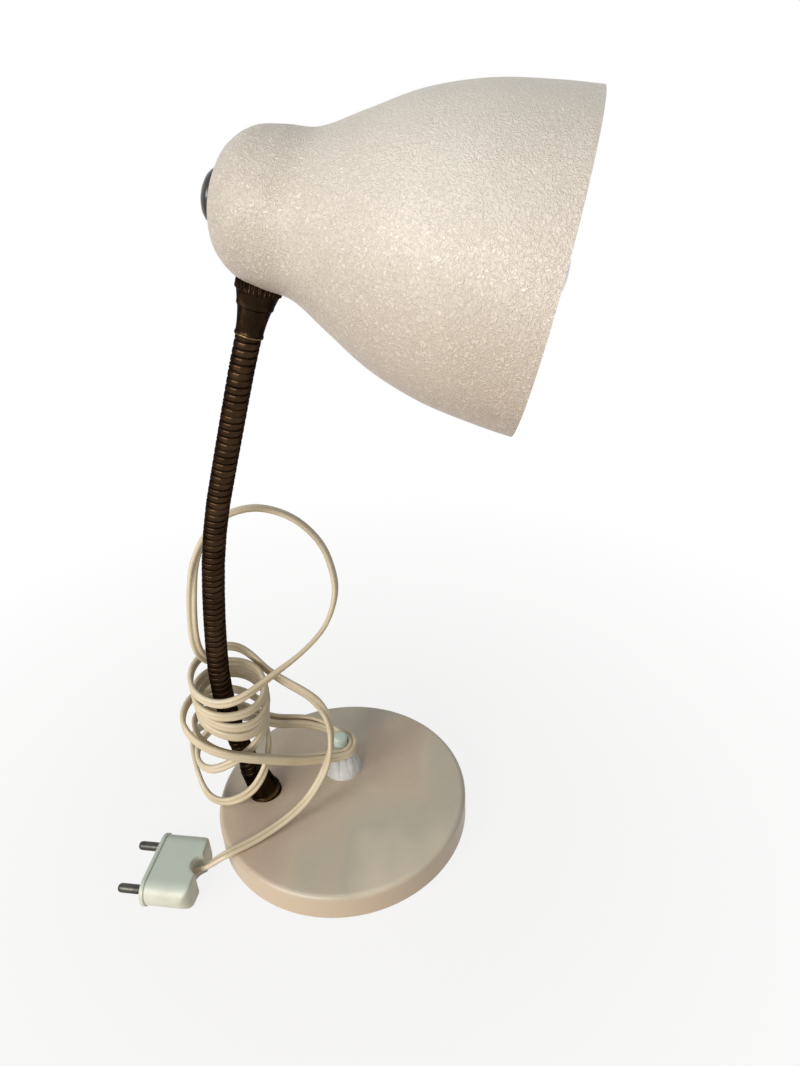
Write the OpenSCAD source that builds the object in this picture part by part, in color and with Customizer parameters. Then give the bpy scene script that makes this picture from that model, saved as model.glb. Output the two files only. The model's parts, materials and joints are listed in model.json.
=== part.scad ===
// Gooseneck desk lamp. Millimetres, +Z up, origin at the centre of the base's underside.
// The head leans out over +X. The neck is drawn as it stands, bent a little backwards and then forwards.

/* [Base] */
// Outer diameter of the base
base_d = 140; // [128:1:170]
// Height of the base, from the table to its flat top
base_h = 17; // [16:0.5:20]
// Rounding of the upper edge
base_edge_r = 3; // [2:0.5:5]
// Thickness of the pressed sheet
base_sheet = 1; // [0.8:0.1:1.4]
// Thickness of the felt under the base
felt_t = 1.5; // [1:0.5:2.5]
// Thickness of the steel closing plate
cover_t = 1; // [0.8:0.1:1.5]
// Width of the cast ballast ring
ballast_w = 30; // [22:1:34]

/* [Switch] */
// Place of the switch along X
switch_x = 2; // [-4:0.5:8]
// Place of the switch along Y
switch_y = 16.5; // [8:0.5:22]
// Diameter of the fluted collar on the base
collar_d = 21.4; // [20:0.2:26]
// Diameter of the fluted collar at its top
collar_top_d = 14; // [13:0.2:16]
// Height of the fluted collar
collar_h = 14; // [12:0.5:18]
// Diameter of the push button
button_d = 8; // [6.4:0.2:8.4]
// How far the button stands above the collar
button_rise = 11; // [8:0.5:14]
// Travel of the button
button_travel = 2.5; // [1.5:0.1:3]

/* [Neck] */
// Place of the neck's foot along X
foot_x = -44; // [-47:0.5:-40]
// Place of the neck's foot along Y
foot_y = 8; // [2:0.5:12]
// Turn of the plane that the neck bends in
neck_turn = -6; // [-12:0.5:0]
// Outer diameter of the flexible tube
hose_d = 11; // [10:0.2:12]
// Inner diameter of the flexible tube
hose_bore_d = 6; // [5:0.2:6.4]
// Pitch of the tube's windings
hose_pitch = 3.3; // [3:0.1:3.6]
// Windings in one stretch between two bends
windings = 5; // [5:1:6]
// Diameter of the foot ferrule where it meets the base
foot_ferrule_d = 18.5; // [17:0.5:22]
// Diameter of the foot ferrule at its top
foot_ferrule_top_d = 12.6; // [12.4:0.2:14]
// Length of the foot ferrule
foot_ferrule_l = 23; // [18:0.5:26]

/* [Head] */
// Diameter of the shade's mouth
mouth_d = 126.4; // [120:0.4:134]
// Length of the shade from its back to its mouth
shade_l = 134.6; // [128:0.2:142]
// Diameter of the shade's round back
shade_back_d = 62; // [58:0.5:66]
// Thickness of the shade's sheet
shade_sheet = 0.8; // [0.6:0.1:1]
// Downward tilt of the shade's axis
shade_tilt = 13.4; // [0:0.2:20]
// Turn of the shade's axis about the vertical
shade_turn = -17.7; // [-30:0.1:0]
// Diameter of the top ferrule where the tube enters
top_ferrule_d = 13.4; // [12.8:0.2:14]
// Diameter of the top ferrule under the knurled saddle
top_ferrule_top_d = 14.6; // [14:0.2:16]
// Diameter of the knurled saddle against the shade
saddle_d = 18.6; // [17:0.2:21]
// Diameter of the bulb's glass
bulb_d = 60; // [45:1:64]
// Diameter of the black cap on the shade's back
rear_cap_d = 21; // [19:0.5:24]

/* [Plug] */
// Distance between the two pins
pin_spacing = 26.4; // [24:0.2:28]
// Diameter of a pin
pin_d = 4.8; // [4:0.1:5]
// Length of a pin outside the plug
pin_l = 14.5; // [13:0.5:19]
// Length of the plug's flange
flange_l = 41.5; // [40:0.5:48]
// Width of the plug's flange
flange_w = 17; // [16:0.5:20]

/* [Hidden] */

paint = "#cfc3b0";
bronze = "#4a3728";
dark_brass = "#5a4530";
steel = "#9a9a98";
bakelite = "#1d1b1a";
porcelain = "#ece8df";
ivory = "#dcd9c2";
white_plastic = "#e4e4df";
flex = "#c9bd9f";
$fn = 64;
eps = 0.01;
run_gap = 0.06;
slip = 0.3;

// Base sizes that follow from the driving ones
base_r = base_d / 2;
wall_lift = 0.8;
plate_z = felt_t;
ballast_z = plate_z + cover_t;
base_in_z = base_h - base_sheet;
base_in_r = base_r - base_sheet;
plate_r = base_in_r - 0.2;
ballast_r = base_in_r - base_edge_r - 1;
ballast_in_r = ballast_r - ballast_w;
lead_r = 1.9;
cord_angle = 128;
grommet_z = (base_h - base_edge_r + ballast_z) / 2;
grommet_r = 4.2;
grommet_l = 5;
screw_d = 4;
foot_room_d = 27;
screw_l = 9;
screw_head_h = 0.8;
lead_room = ballast_w + 12;

// A rounded profile of the pressed base: radius, height and rounding, as a filled 2D shape
module disc_profile(r, z0, z1, edge) {
    translate([0, z0]) square([r, z1 - edge - z0]);
    translate([0, z0]) square([r - edge, z1 - z0]);
    translate([r - edge, z1 - edge]) circle(edge);
}

module at_switch() translate([switch_x, switch_y, base_h]) children();
module at_foot() translate([foot_x, foot_y, base_h]) rotate([0, 0, neck_turn]) children();
module at_foot_lean() at_foot() rotate([0, bend(0), 0]) children();
module at_cord_exit() rotate([0, 0, cord_angle]) translate([base_r, 0, grommet_z]) rotate([0, 90, 0]) children();

module base_shell() {
    color(paint)
    difference() {
        rotate_extrude($fn = 128) difference() {
            disc_profile(base_r, wall_lift, base_h, base_edge_r);
            translate([0, -1]) disc_profile(base_in_r, 0, base_in_z + 1, base_edge_r - base_sheet);
            translate([-base_r, -1]) square([base_r, base_h + 2]);
        }
        at_switch() translate([0, 0, -base_sheet - 1]) cylinder(d = bush_d + 2 * slip, h = base_sheet + 2);
        at_foot_lean() translate([0, 0, -nipple_drop]) cylinder(d = nipple_d + 2 * slip, h = 2 * nipple_drop);
        at_cord_exit() translate([0, 0, -grommet_l]) cylinder(r = grommet_r, h = grommet_l + 2);
    }
}

module ballast_ring() {
    color("#5c5a57")
    difference() {
        translate([0, 0, ballast_z]) rotate_extrude($fn = 96)
            translate([ballast_in_r, 0]) square([ballast_w, base_in_z - ballast_z]);
        // room for the neck's nut and for the lead
        at_foot() translate([3, 0, -base_h]) cylinder(d = foot_room_d, h = base_h);
        at_cord_exit() translate([0, 0, -lead_room]) cylinder(r = grommet_r + 1.5, h = lead_room);
        plate_screw_places() translate([0, 0, plate_z - 1]) cylinder(d = screw_d, h = screw_l + 1);
    }
}

module plate_screw_places() {
    for (a = [60, 240, 330]) rotate([0, 0, a]) translate([ballast_r - ballast_w / 2, 0, 0]) children();
}

module closing_plate() {
    color(steel)
    difference() {
        translate([0, 0, plate_z]) cylinder(r = plate_r, h = cover_t, $fn = 96);
        plate_screw_places() translate([0, 0, plate_z - 1]) cylinder(d = screw_d, h = cover_t + 2);
    }
}

// Three screws from below, through the plate and into the ballast
module plate_screws() {
    color(steel)
    plate_screw_places() {
        translate([0, 0, plate_z]) cylinder(d = screw_d, h = screw_l, $fn = 24);
        translate([0, 0, plate_z - screw_head_h]) cylinder(d = 7, h = screw_head_h, $fn = 24);
    }
}

module felt_pad() {
    color("#46503f")
    difference() {
        cylinder(r = plate_r - 2, h = felt_t, $fn = 96);
        plate_screw_places() translate([0, 0, felt_t - screw_head_h]) cylinder(d = 7.6, h = felt_t);
    }
}

module cord_grommet() {
    color(ivory)
    at_cord_exit() rotate_extrude() difference() {
        union() {
            translate([0, -grommet_l + 1]) square([grommet_r, grommet_l - 0.8]);
            translate([0, 0.1]) square([grommet_r + 1.3, 1.4]);
            translate([0, -base_sheet - 1.8]) square([grommet_r + 1, 1.4]);
            translate([0, 1.4]) polygon([[0, 0], [grommet_r, 0], [grommet_r - 1, 3.4], [0, 3.4]]);
        }
        translate([0, -grommet_l]) square([lead_r - 0.4, grommet_l + 6]);
        translate([-20, -20]) square([20, 40]);
    }
}

// Switch
bush_d = 10.4;
bush_in = 7;
button_flange_d = button_d + 3;
button_edge = 1.2;
button_top = collar_h + button_rise;
collar_bore_d = button_d + 2 * slip;
flutes = 10;
flute_r = 3.5;
flute_depth = 0.6;
flute_lean = -atan((collar_d - collar_top_d) / 2 / (collar_h - 2.4));
switch_nut_h = 2.2;
switch_top = base_sheet + switch_nut_h;
button_foot = switch_top + 2.1;
switch_body_w = 22;
switch_body_h = 9.5;
switch_floor = switch_top + switch_body_h - 1;
spring_r = 2.6;
spring_wire_r = 0.3;
spring_turns = 5;
spring_lift = switch_floor - button_foot - 2 * spring_wire_r - 0.05;

module switch_collar() {
    color(white_plastic)
    at_switch() difference() {
        union() {
            cylinder(d1 = collar_d, d2 = collar_d - 0.6, h = 1.6);
            translate([0, 0, 1.6]) cylinder(d1 = collar_d - 0.6, d2 = collar_top_d, h = collar_h - 2.4);
            translate([0, 0, collar_h - 0.8]) cylinder(d1 = collar_top_d, d2 = collar_top_d - 1.2, h = 0.8);
        }
        translate([0, 0, -1]) cylinder(d = collar_bore_d, h = collar_h + 2);
        translate([0, 0, -eps]) cylinder(d = bush_d + 0.1, h = bush_in - 1);
        for (a = [0 : 360 / flutes : 359]) rotate([0, 0, a])
            translate([collar_d / 2 + flute_r - flute_depth, 0, 2.6]) rotate([0, flute_lean, 0])
                cylinder(r = flute_r, h = collar_h * 2, $fn = 32);
    }
}

// The button has a rounded edge above and a flange below that keeps it in the switch
module push_button() {
    color("#cfe0d2")
    at_switch() rotate_extrude() polygon(concat(
        [[0, -button_foot], [button_flange_d / 2, -button_foot], [button_flange_d / 2, 1 - button_foot],
            [button_d / 2, 1 - button_foot]],
        arc(button_d / 2 - button_edge, button_top - button_edge, button_edge, 0, 90, 6),
        [[0, button_top]]
    ));
}
// Points of an arc round (x, z), from angle a to angle b in n steps
function arc(x, z, r, a, b, n) = [for (k = [0 : n]) let (t = a + (b - a) * k / n) [x + r * cos(t), z + r * sin(t)]];

// The bush comes up through the base's top, and the collar screws onto it
module switch_body() {
    color(bakelite)
    at_switch() difference() {
        union() {
            translate([-switch_body_w / 2, -8, -switch_top - switch_body_h]) cube([switch_body_w, 16, switch_body_h]);
            translate([0, 0, -switch_top - 0.1]) cylinder(d = bush_d, h = switch_top + bush_in - 1.4);
        }
        translate([0, 0, -switch_floor]) cylinder(d = collar_bore_d, h = switch_floor + collar_h);
        translate([0, 0, -switch_floor]) cylinder(d = button_flange_d + 2 * slip, h = switch_floor - switch_top - 1);
    }
}

module switch_nut() {
    color(steel)
    at_switch() translate([0, 0, -switch_top]) difference() {
        cylinder(d = 16, h = switch_nut_h, $fn = 6);
        translate([0, 0, -1]) cylinder(d = bush_d + 0.1, h = switch_nut_h + 2);
    }
}

// The return spring under the button's foot: a wire wound in a helix
function helix_ring(a, sides) = let (z = -switch_floor + spring_wire_r + spring_lift * a / (360 * spring_turns)) [
    for (k = [0 : sides - 1]) let (t = 360 * k / sides, r = spring_r + spring_wire_r * cos(t))
        [r * cos(a), r * sin(a), z + spring_wire_r * sin(t)]
];
module switch_spring() {
    color(steel)
    at_switch() swept([for (a = [0 : 20 : 360 * spring_turns]) helix_ring(a, 6)]);
}
// A closed skin over rings of points
module swept(rings) {
    n = len(rings[0]);
    last = len(rings) - 1;
    polyhedron(
        points = [for (ring = rings) each ring],
        faces = concat(
            [[for (k = [n - 1 : -1 : 0]) k]],
            [for (i = [0 : last - 1], k = [0 : n - 1]) each let (
                a = i * n + k, b = i * n + (k + 1) % n
            ) [[a, b, a + n], [b, b + n, a + n]]],
            [[for (k = [0 : n - 1]) last * n + k]]
        )
    );
}

// Neck. The bend of the tube as it stands, in degrees from the vertical at each stretch
bend_curve = [[0, -14], [1, -12], [3, -3.5], [5, 5], [8, 9], [11, 17.5], [14, 18], [15, 19.5]];
function bend(i) = lookup(i, bend_curve);
foot_stretches = 4;
links = 11;
stretch_l = windings * hose_pitch;
hose_start = foot_ferrule_l + 1.5;
// Places of the bends in the neck's own plane
function bend_u(i) = i == 0 ? hose_start * sin(bend(0)) : bend_u(i - 1) + stretch_l * sin(bend(i));
function bend_z(i) = i == 0 ? hose_start * cos(bend(0)) : bend_z(i - 1) + stretch_l * cos(bend(i));
module at_bend(i, a) at_foot() translate([bend_u(i), 0, bend_z(i)]) rotate([0, a, 0]) children();

ring_gap = 1.2;
groove = 0.5;
ball_r = 4.4;
socket_r = ball_r + slip;
nipple_d = 9.8;
nipple_bore_d = 6.4;
nipple_rise = 9;
nipple_drop = 9;
foot_hose_z = nipple_rise + 0.5;
foot_nut_h = 3;
wedge_l = 4.5;

// Half profile of n windings, from the axis out, starting half a gap above the bend
function winding(z) = let (w = (hose_pitch - ring_gap) / 2, r = hose_d / 2) [
    [r - groove, z - w], [r - 0.15, z - w * 0.75], [r, z - w * 0.3],
    [r, z + w * 0.3], [r - 0.15, z + w * 0.75], [r - groove, z + w]
];
module windings_profile(n) {
    polygon(concat(
        [[0, ring_gap / 2]],
        [for (k = [0 : n - 1]) each winding((k + 0.5) * hose_pitch)],
        [[0, n * hose_pitch - ring_gap / 2]]
    ));
}

// One stretch: a socket below and a ball above, both centred on the bends
module stretch_shape(n, socket, ball) {
    difference() {
        union() {
            rotate_extrude($fn = 48) windings_profile(n);
            if (ball) intersection() {
                translate([0, 0, n * hose_pitch]) sphere(ball_r, $fn = 48);
                translate([0, 0, n * hose_pitch - 3]) cylinder(r = 6, h = 5.2);
            }
        }
        if (socket) sphere(socket_r, $fn = 48);
        translate([0, 0, -1]) cylinder(d = hose_bore_d, h = n * hose_pitch + 6);
    }
}

// The lowest stretches stay as they are: the joins between them are closed
module gooseneck_foot() {
    color(bronze) {
        difference() {
            union() {
                at_foot_lean() translate([0, 0, hose_start - 2 * hose_pitch]) rotate_extrude($fn = 48)
                    windings_profile(2);
                at_foot_lean() translate([0, 0, foot_hose_z]) cylinder(d = hose_d - 1.4, h = hose_start - foot_hose_z);
                for (i = [1 : foot_stretches]) at_bend(i - 1, bend(i)) {
                    rotate_extrude($fn = 48) windings_profile(windings);
                    sphere(d = hose_d - 2 * groove, $fn = 48);
                }
                at_bend(foot_stretches, bend(foot_stretches)) intersection() {
                    sphere(ball_r, $fn = 48);
                    translate([0, 0, -3]) cylinder(r = 6, h = 5.2);
                }
            }
            at_foot_lean() translate([0, 0, -1]) cylinder(d = hose_bore_d, h = hose_start + 2);
            for (i = [1 : foot_stretches]) at_bend(i - 1, bend(i)) {
                sphere(d = hose_bore_d, $fn = 32);
                cylinder(d = hose_bore_d, h = stretch_l + 3);
            }
        }
    }
}

module gooseneck_link(k) {
    color(bronze) at_bend(foot_stretches + k - 1, bend(foot_stretches + k))
        stretch_shape(windings, true, k < links);
}
module gooseneck_01() gooseneck_link(1);
module gooseneck_02() gooseneck_link(2);
module gooseneck_03() gooseneck_link(3);
module gooseneck_04() gooseneck_link(4);
module gooseneck_05() gooseneck_link(5);
module gooseneck_06() gooseneck_link(6);
module gooseneck_07() gooseneck_link(7);
module gooseneck_08() gooseneck_link(8);
module gooseneck_09() gooseneck_link(9);
module gooseneck_10() gooseneck_link(10);
module gooseneck_11() gooseneck_link(11);

// A turned cone that the tube is soldered into. It leans with the neck and is cut flat where it meets the base
module foot_ferrule() {
    color(dark_brass)
    difference() {
        at_foot_lean() rotate_extrude($fn = 64) polygon([
            [0, -6], [foot_ferrule_d / 2, -6], [foot_ferrule_d / 2, 1.2],
            [foot_ferrule_d / 2 - 0.8, 2.4], [foot_ferrule_top_d / 2 + 0.6, foot_ferrule_l - 3],
            [foot_ferrule_top_d / 2, foot_ferrule_l - 2.2], [foot_ferrule_top_d / 2, foot_ferrule_l],
            [0, foot_ferrule_l]
        ]);
        at_foot_lean() translate([0, 0, -7]) cylinder(d = nipple_d + 0.02, h = nipple_rise + 7);
        at_foot_lean() cylinder(d = hose_bore_d + 1, h = foot_ferrule_l);
        at_foot_lean() translate([0, 0, foot_hose_z]) cylinder(d = hose_d + 0.1, h = foot_ferrule_l);
        at_foot() translate([-20, -20, -20]) cube([40, 40, 20]);
    }
}

module foot_nipple() {
    color(dark_brass)
    at_foot_lean() translate([0, 0, -nipple_drop]) difference() {
        cylinder(d = nipple_d, h = nipple_rise + nipple_drop);
        translate([0, 0, -1]) cylinder(d = nipple_bore_d, h = nipple_rise + nipple_drop + 2);
    }
}

// The washer is thicker on one side, so that the nut pulls square on the leaning nipple
module foot_wedge_washer() {
    color(steel)
    difference() {
        at_foot_lean() translate([0, 0, -wedge_l - base_sheet]) difference() {
            cylinder(d = 19, h = 2 * wedge_l);
            translate([0, 0, -1]) cylinder(d = nipple_d + 0.2, h = 2 * wedge_l + 2);
        }
        at_foot() translate([-20, -20, -base_sheet]) cube([40, 40, 20]);
    }
}

module foot_nut() {
    color(steel)
    at_foot_lean() translate([0, 0, -wedge_l - base_sheet - foot_nut_h]) difference() {
        cylinder(d = 16, h = foot_nut_h, $fn = 6);
        translate([0, 0, -1]) cylinder(d = nipple_d + 0.02, h = foot_nut_h + 2);
    }
}

// Head end of the neck
top_bend = foot_stretches + links;
top_ferrule_l = 14;
top_ferrule_low = -4.2;
// From the neck's end to the shade's axis, and from there back along the axis to the shade's back
knuckle = 48.2;
neck_to_back = 26.4;
knurls = 32;
module at_neck_top() at_bend(top_bend, bend(top_bend)) children();
module at_head() {
    at_neck_top() translate([0, 0, knuckle]) rotate([0, -bend(top_bend), 0]) rotate([0, 0, -neck_turn])
        rotate([0, 90 + shade_tilt, shade_turn]) translate([0, 0, -neck_to_back]) children();
}

module top_ferrule() {
    color(dark_brass)
    at_neck_top() rotate_extrude($fn = 64) difference() {
        polygon([
            [0, top_ferrule_low], [top_ferrule_d / 2 - 0.3, top_ferrule_low],
            [top_ferrule_d / 2, top_ferrule_low + 0.6],
            [(top_ferrule_d + top_ferrule_top_d) / 4, 3.2], [(top_ferrule_d + top_ferrule_top_d) / 4 + 0.35, 3.6],
            [(top_ferrule_d + top_ferrule_top_d) / 4 + 0.35, 4.2], [(top_ferrule_d + top_ferrule_top_d) / 4, 4.6],
            [top_ferrule_top_d / 2, top_ferrule_l + top_ferrule_low - 0.4],
            [top_ferrule_top_d / 2 - 0.4, top_ferrule_l + top_ferrule_low], [0, top_ferrule_l + top_ferrule_low]
        ]);
        translate([0, top_ferrule_low - 1]) square([hose_d / 2 + 0.02, 1 - top_ferrule_low]);
        translate([0, -1]) square([hose_bore_d / 2, 30]);
        translate([0, 2]) square([nipple_d / 2 + 0.01, 30]);
        translate([-20, -20]) square([20, 60]);
    }
}

// Shade: half outlines of its outside and inside, radius over length from the back
shade_back_r = shade_back_d / 2;
mouth_r = mouth_d / 2;
shade_marks = [
    [0, 1.6], [7, 2.4], [shade_back_r - 16, 4.9], [shade_back_r - 9.4, 8.6], [shade_back_r - 3.6, 16.2],
    [shade_back_r - 1.2, 27], [shade_back_r + 0.6, 40], [shade_back_r + 9.4, 56], [shade_back_r + 19.8, 75],
    [mouth_r - 5.2, shade_l - 38], [mouth_r - 1.6, shade_l - 16], [mouth_r, shade_l]
];
function spline(a, b, c, d, t) = 0.5 * (2 * b + (c - a) * t + (2 * a - 5 * b + 4 * c - d) * t * t
    + (3 * b - a - 3 * c + d) * t * t * t);
function smooth_line(p, n) = let (last = len(p) - 1) concat(
    [for (i = [0 : last - 1], k = [0 : n - 1])
        spline(p[max(i - 1, 0)], p[i], p[i + 1], p[min(i + 2, last)], k / n)],
    [p[last]]
);
shade_steps = 3;
shade_outline = smooth_line(shade_marks, shade_steps);
// Normal of the outline at point i, pointing inwards
function inward(p, i) = let (
    a = p[max(i - 1, 0)], b = p[min(i + 1, len(p) - 1)], d = (b - a) / norm(b - a)
) [-d[1], d[0]];
shade_inline = [for (i = [0 : len(shade_outline) - 1])
    i < shade_steps ? shade_outline[i] + [0, shade_sheet] : shade_outline[i] + shade_sheet * inward(shade_outline, i)];
module shade_outer() rotate_extrude($fn = 96) polygon(concat(shade_outline, [[0, shade_l]]));
module shade_inner() rotate_extrude($fn = 96) polygon(concat(shade_inline, [[mouth_r - shade_sheet, shade_l + 2], [0, shade_l + 2]]));

module shade() {
    color(paint)
    difference() {
        at_head() rotate_extrude($fn = 96) difference() {
            polygon(concat(shade_outline, [for (i = [len(shade_inline) - 1 : -1 : 0]) shade_inline[i]]));
            square([holder_thread_d / 2 + 0.02, 5]);
        }
        at_neck_top() cylinder(d = nipple_d + 2 * run_gap, h = knuckle);
    }
}

// The saddle's top is hollowed to the shade's side, and its skirt is knurled
module knurled_saddle() {
    color(dark_brass)
    difference() {
        at_neck_top() translate([0, 0, top_ferrule_l + top_ferrule_low]) difference() {
            union() {
                rotate_extrude($fn = 64) polygon([
                    [0, 0], [top_ferrule_top_d / 2 + 0.1, 0], [top_ferrule_top_d / 2 + 0.4, 0.4],
                    [top_ferrule_top_d / 2 + 0.5, 2], [saddle_d / 2 - 0.6, 5.6], [saddle_d / 2, 7],
                    [saddle_d / 2, 16], [0, 16]
                ]);
                for (a = [0 : 360 / knurls : 359]) rotate([0, 0, a]) translate([saddle_d / 2 - 0.05, 0, 6.6])
                    cylinder(r = 0.4, h = 9.4, $fn = 8);
            }
            translate([0, 0, -1]) cylinder(d = nipple_d + 2 * run_gap, h = 20);
        }
        at_head() shade_outer();
    }
}

// Inside the shade: a washer hollowed on one side only, and the nut
wall_height = knuckle - shade_back_r + 1.3;
washer_top = wall_height + 3.2;
module saddle_washer() {
    color(steel)
    intersection() {
        at_neck_top() difference() {
            translate([0, 0, wall_height - 6]) cylinder(d = 15, h = washer_top - wall_height + 6);
            cylinder(d = nipple_d + 2 * run_gap, h = 60);
        }
        at_head() shade_inner();
    }
}

module head_nipple() {
    color(dark_brass)
    at_neck_top() difference() {
        translate([0, 0, 2]) cylinder(d = nipple_d, h = washer_top + 3.6 - 2);
        cylinder(d = nipple_bore_d, h = 60);
    }
}

module head_nut() {
    color(steel)
    at_neck_top() translate([0, 0, washer_top]) difference() {
        cylinder(d = 14, h = 2.8, $fn = 6);
        translate([0, 0, -1]) cylinder(d = nipple_d + 0.02, h = 6);
    }
}

// Lampholder on the shade's axis
holder_thread_d = 12;
holder_d = 38;
holder_s = shade_marks[1][1] + shade_sheet;
holder_l = 33;
screw_shell_d = 27.6;
shell_s = 31;
shell_l = 25;
contact_h = 7;

// The cap is domed outside and hollowed below to the shade's back. Its thread clamps the holder from inside
rear_cap_rise = 1.6;
rear_cap_seat = 3;
rear_cap_r = ((rear_cap_d / 2) ^ 2 + (rear_cap_rise + rear_cap_seat) ^ 2) / (2 * (rear_cap_rise + rear_cap_seat));
module rear_cap() {
    color(bakelite)
    at_head() {
        difference() {
            rotate_extrude() polygon(concat(
                arc(0, rear_cap_r - rear_cap_rise, rear_cap_r, -90,
                    -90 + asin(rear_cap_d / 2 / rear_cap_r), 6),
                [[rear_cap_d / 2, rear_cap_seat + 1], [0, rear_cap_seat + 1]]
            ));
            shade_outer();
        }
        translate([0, 0, 0.6]) cylinder(d = holder_thread_d, h = holder_s + 0.4);
    }
}

module holder_body() {
    color(bakelite)
    at_head() rotate_extrude() difference() {
        polygon([
            [0, holder_s], [holder_d / 2 - 12, holder_s], [holder_d / 2 - 6, holder_s + 3.4],
            [holder_d / 2, holder_s + 12], [holder_d / 2, holder_s + holder_l], [0, holder_s + holder_l]
        ]);
        polygon([
            [0, holder_s + 5.6], [holder_d / 2 - 8, holder_s + 5.6], [holder_d / 2 - 2.4, holder_s + 13],
            [holder_d / 2 - 2.4, holder_s + holder_l + 1], [0, holder_s + holder_l + 1]
        ]);
        square([holder_thread_d / 2 + 0.02, holder_s + 7]);
    }
}

module holder_insert() {
    color(porcelain)
    at_head() translate([0, 0, shell_s - 9]) rotate_extrude() difference() {
        union() {
            square([holder_d / 2 - 2.5, 7]);
            square([screw_shell_d / 2, 9]);
        }
        translate([0, 3]) square([4, 10]);
        translate([-20, -1]) square([20, 20]);
    }
}

module holder_contact() {
    color("#b08d4a")
    at_head() translate([0, 0, shell_s - 6]) {
        cylinder(d = 7.8, h = 1);
        cylinder(d = 4, h = contact_h);
    }
}

module holder_screw_shell() {
    color("#b08d4a")
    at_head() translate([0, 0, shell_s]) rotate_extrude()
        translate([screw_shell_d / 2 - 0.4, 0]) square([0.4, shell_l]);
}

module holder_skirt() {
    color(bakelite)
    at_head() translate([0, 0, holder_s + holder_l]) rotate_extrude() {
        difference() {
            polygon([[screw_shell_d / 2 + 0.1, 0], [holder_d / 2 + 1, 0], [holder_d / 2 + 1, 4],
                [holder_d / 2 - 1.5, 20], [screw_shell_d / 2 + 0.1, 20]]);
            translate([0, -1]) square([screw_shell_d / 2 + 1, 19]);
        }
    }
}

// Bulb. Its tip stands a few millimetres out of the shade's mouth
bulb_cap_s = shell_s + 1.6;
bulb_cap_r = 13.1;
bulb_cap_l = 24.5;
bulb_tip_s = shade_l + 6;
bulb_r = bulb_d / 2;
glass_t = 0.7;
bulb_ball_s = bulb_tip_s - bulb_r;
bulb_neck_s = bulb_cap_s + bulb_cap_l;

module bulb_cap() {
    color("#c9c6bd")
    at_head() translate([0, 0, bulb_cap_s]) rotate_extrude() difference() {
        polygon([[0, 0.8], [6, 0.8], [9.4, 3.4], [bulb_cap_r - 0.5, 4.6], [bulb_cap_r, 6],
            [bulb_cap_r, bulb_cap_l], [0, bulb_cap_l]]);
        polygon([[0, 3], [9, 5.6], [bulb_cap_r - 0.5, 7], [bulb_cap_r - 0.5, bulb_cap_l + 1], [0, bulb_cap_l + 1]]);
        square([3, 4]);
    }
}

module bulb_tip_contact() {
    color("#b5b2a8")
    at_head() translate([0, 0, bulb_cap_s]) cylinder(d1 = 5, d2 = 5.98, h = 3.4);
}

module bulb_glass() {
    color("#c8d4da", 0.35)
    at_head() rotate_extrude($fn = 96) difference() {
        bulb_outline(0);
        bulb_outline(glass_t);
        translate([-60, 0]) square([60, 200]);
    }
}
module bulb_outline(wall) {
    translate([0, bulb_ball_s]) circle(bulb_r - wall);
    polygon([
        [0, bulb_neck_s - 14 - wall], [bulb_cap_r - 0.55 - wall, bulb_neck_s - 14 - wall],
        [bulb_cap_r - 0.55 - wall, bulb_neck_s + 2],
        [bulb_cap_r + 2 - wall, bulb_neck_s + 10], [bulb_r * 0.86 - wall, bulb_ball_s - bulb_r * 0.51],
        [0, bulb_ball_s - bulb_r * 0.51]
    ]);
}

module bulb_stem() {
    color("#d5dde0", 0.5)
    at_head() rotate_extrude() polygon([
        [0, bulb_neck_s - 14 + glass_t - 0.7], [bulb_cap_r - 1.4, bulb_neck_s - 14 + glass_t - 0.7],
        [6, bulb_neck_s - 8], [3, bulb_neck_s + 6], [2.4, bulb_neck_s + 14],
        [1, bulb_neck_s + 17], [1, bulb_ball_s - 6], [0, bulb_ball_s - 6]
    ]);
}

// Two support wires and a bowed filament between them, as one solid of short rods
module bulb_filament() {
    color("#8b8b88")
    at_head() {
        for (side = [-1, 1]) rod([side * 2, 0, bulb_neck_s + 13], [side * 12, 0, bulb_ball_s - 4], 0.4);
        for (side = [-1, 1]) rod([side * 12.2, 0, bulb_ball_s - 4.2], [0, 0, bulb_ball_s + 3], 0.5);
    }
}
module rod(a, b, r) {
    d = b - a;
    translate(a) rotate([0, acos(d[2] / norm(d)), atan2(d[1], d[0])]) cylinder(r = r, h = norm(d), $fn = 16);
}

// Lead, a limp twin flex. It leaves the bush, makes two low loops round the neck, is wound round the neck and
// round the switch, stands up in one big loop behind the neck, and comes down in front of the switch to the plug
lead_sides = 8;
band_r = 3;
start_route = [
    [-46, 59, 8.25], [-51, 65.4, 8.5], [-61, 69, 13], [-73, 64, 22], [-81, 52, 32], [-83, 38, 38], [-82.5, 25, 37.5],
    [-79.5, 13, 31.5], [-72, 2.5, 21.5], [-65, 0.5, 20.2], [-57.5, -2.5, 24.5], [-44.5, -4, 37.5], [-37.5, 4, 52.5],
    [-41, 22, 59], [-51, 27, 57], [-64, 29.5, 53.5], [-74, 25, 49], [-78.5, 17.5, 45.5], [-71, 3, 44.5],
    [-59, -4, 52.5], [-51.5, -2.5, 55.5], [-43, 0.5, 61], [-39, 5, 67]
];
band_front_route = [
    [-66, -8, 69.5], [-58, -9, 65], [-50, -8, 60.5], [-41, -5.5, 54.5], [-31, -2, 48], [-21, 2, 42.5],
    [-11, 5.5, 37.5], [-1, 9, 34.5]
];
band_back_route = [
    [-1, 24, 36.5], [-10, 28, 42], [-20, 31, 44.5], [-31, 33, 45.5], [-40, 33.5, 49], [-50, 33, 57], [-62, 28.5, 68]
];
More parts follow.
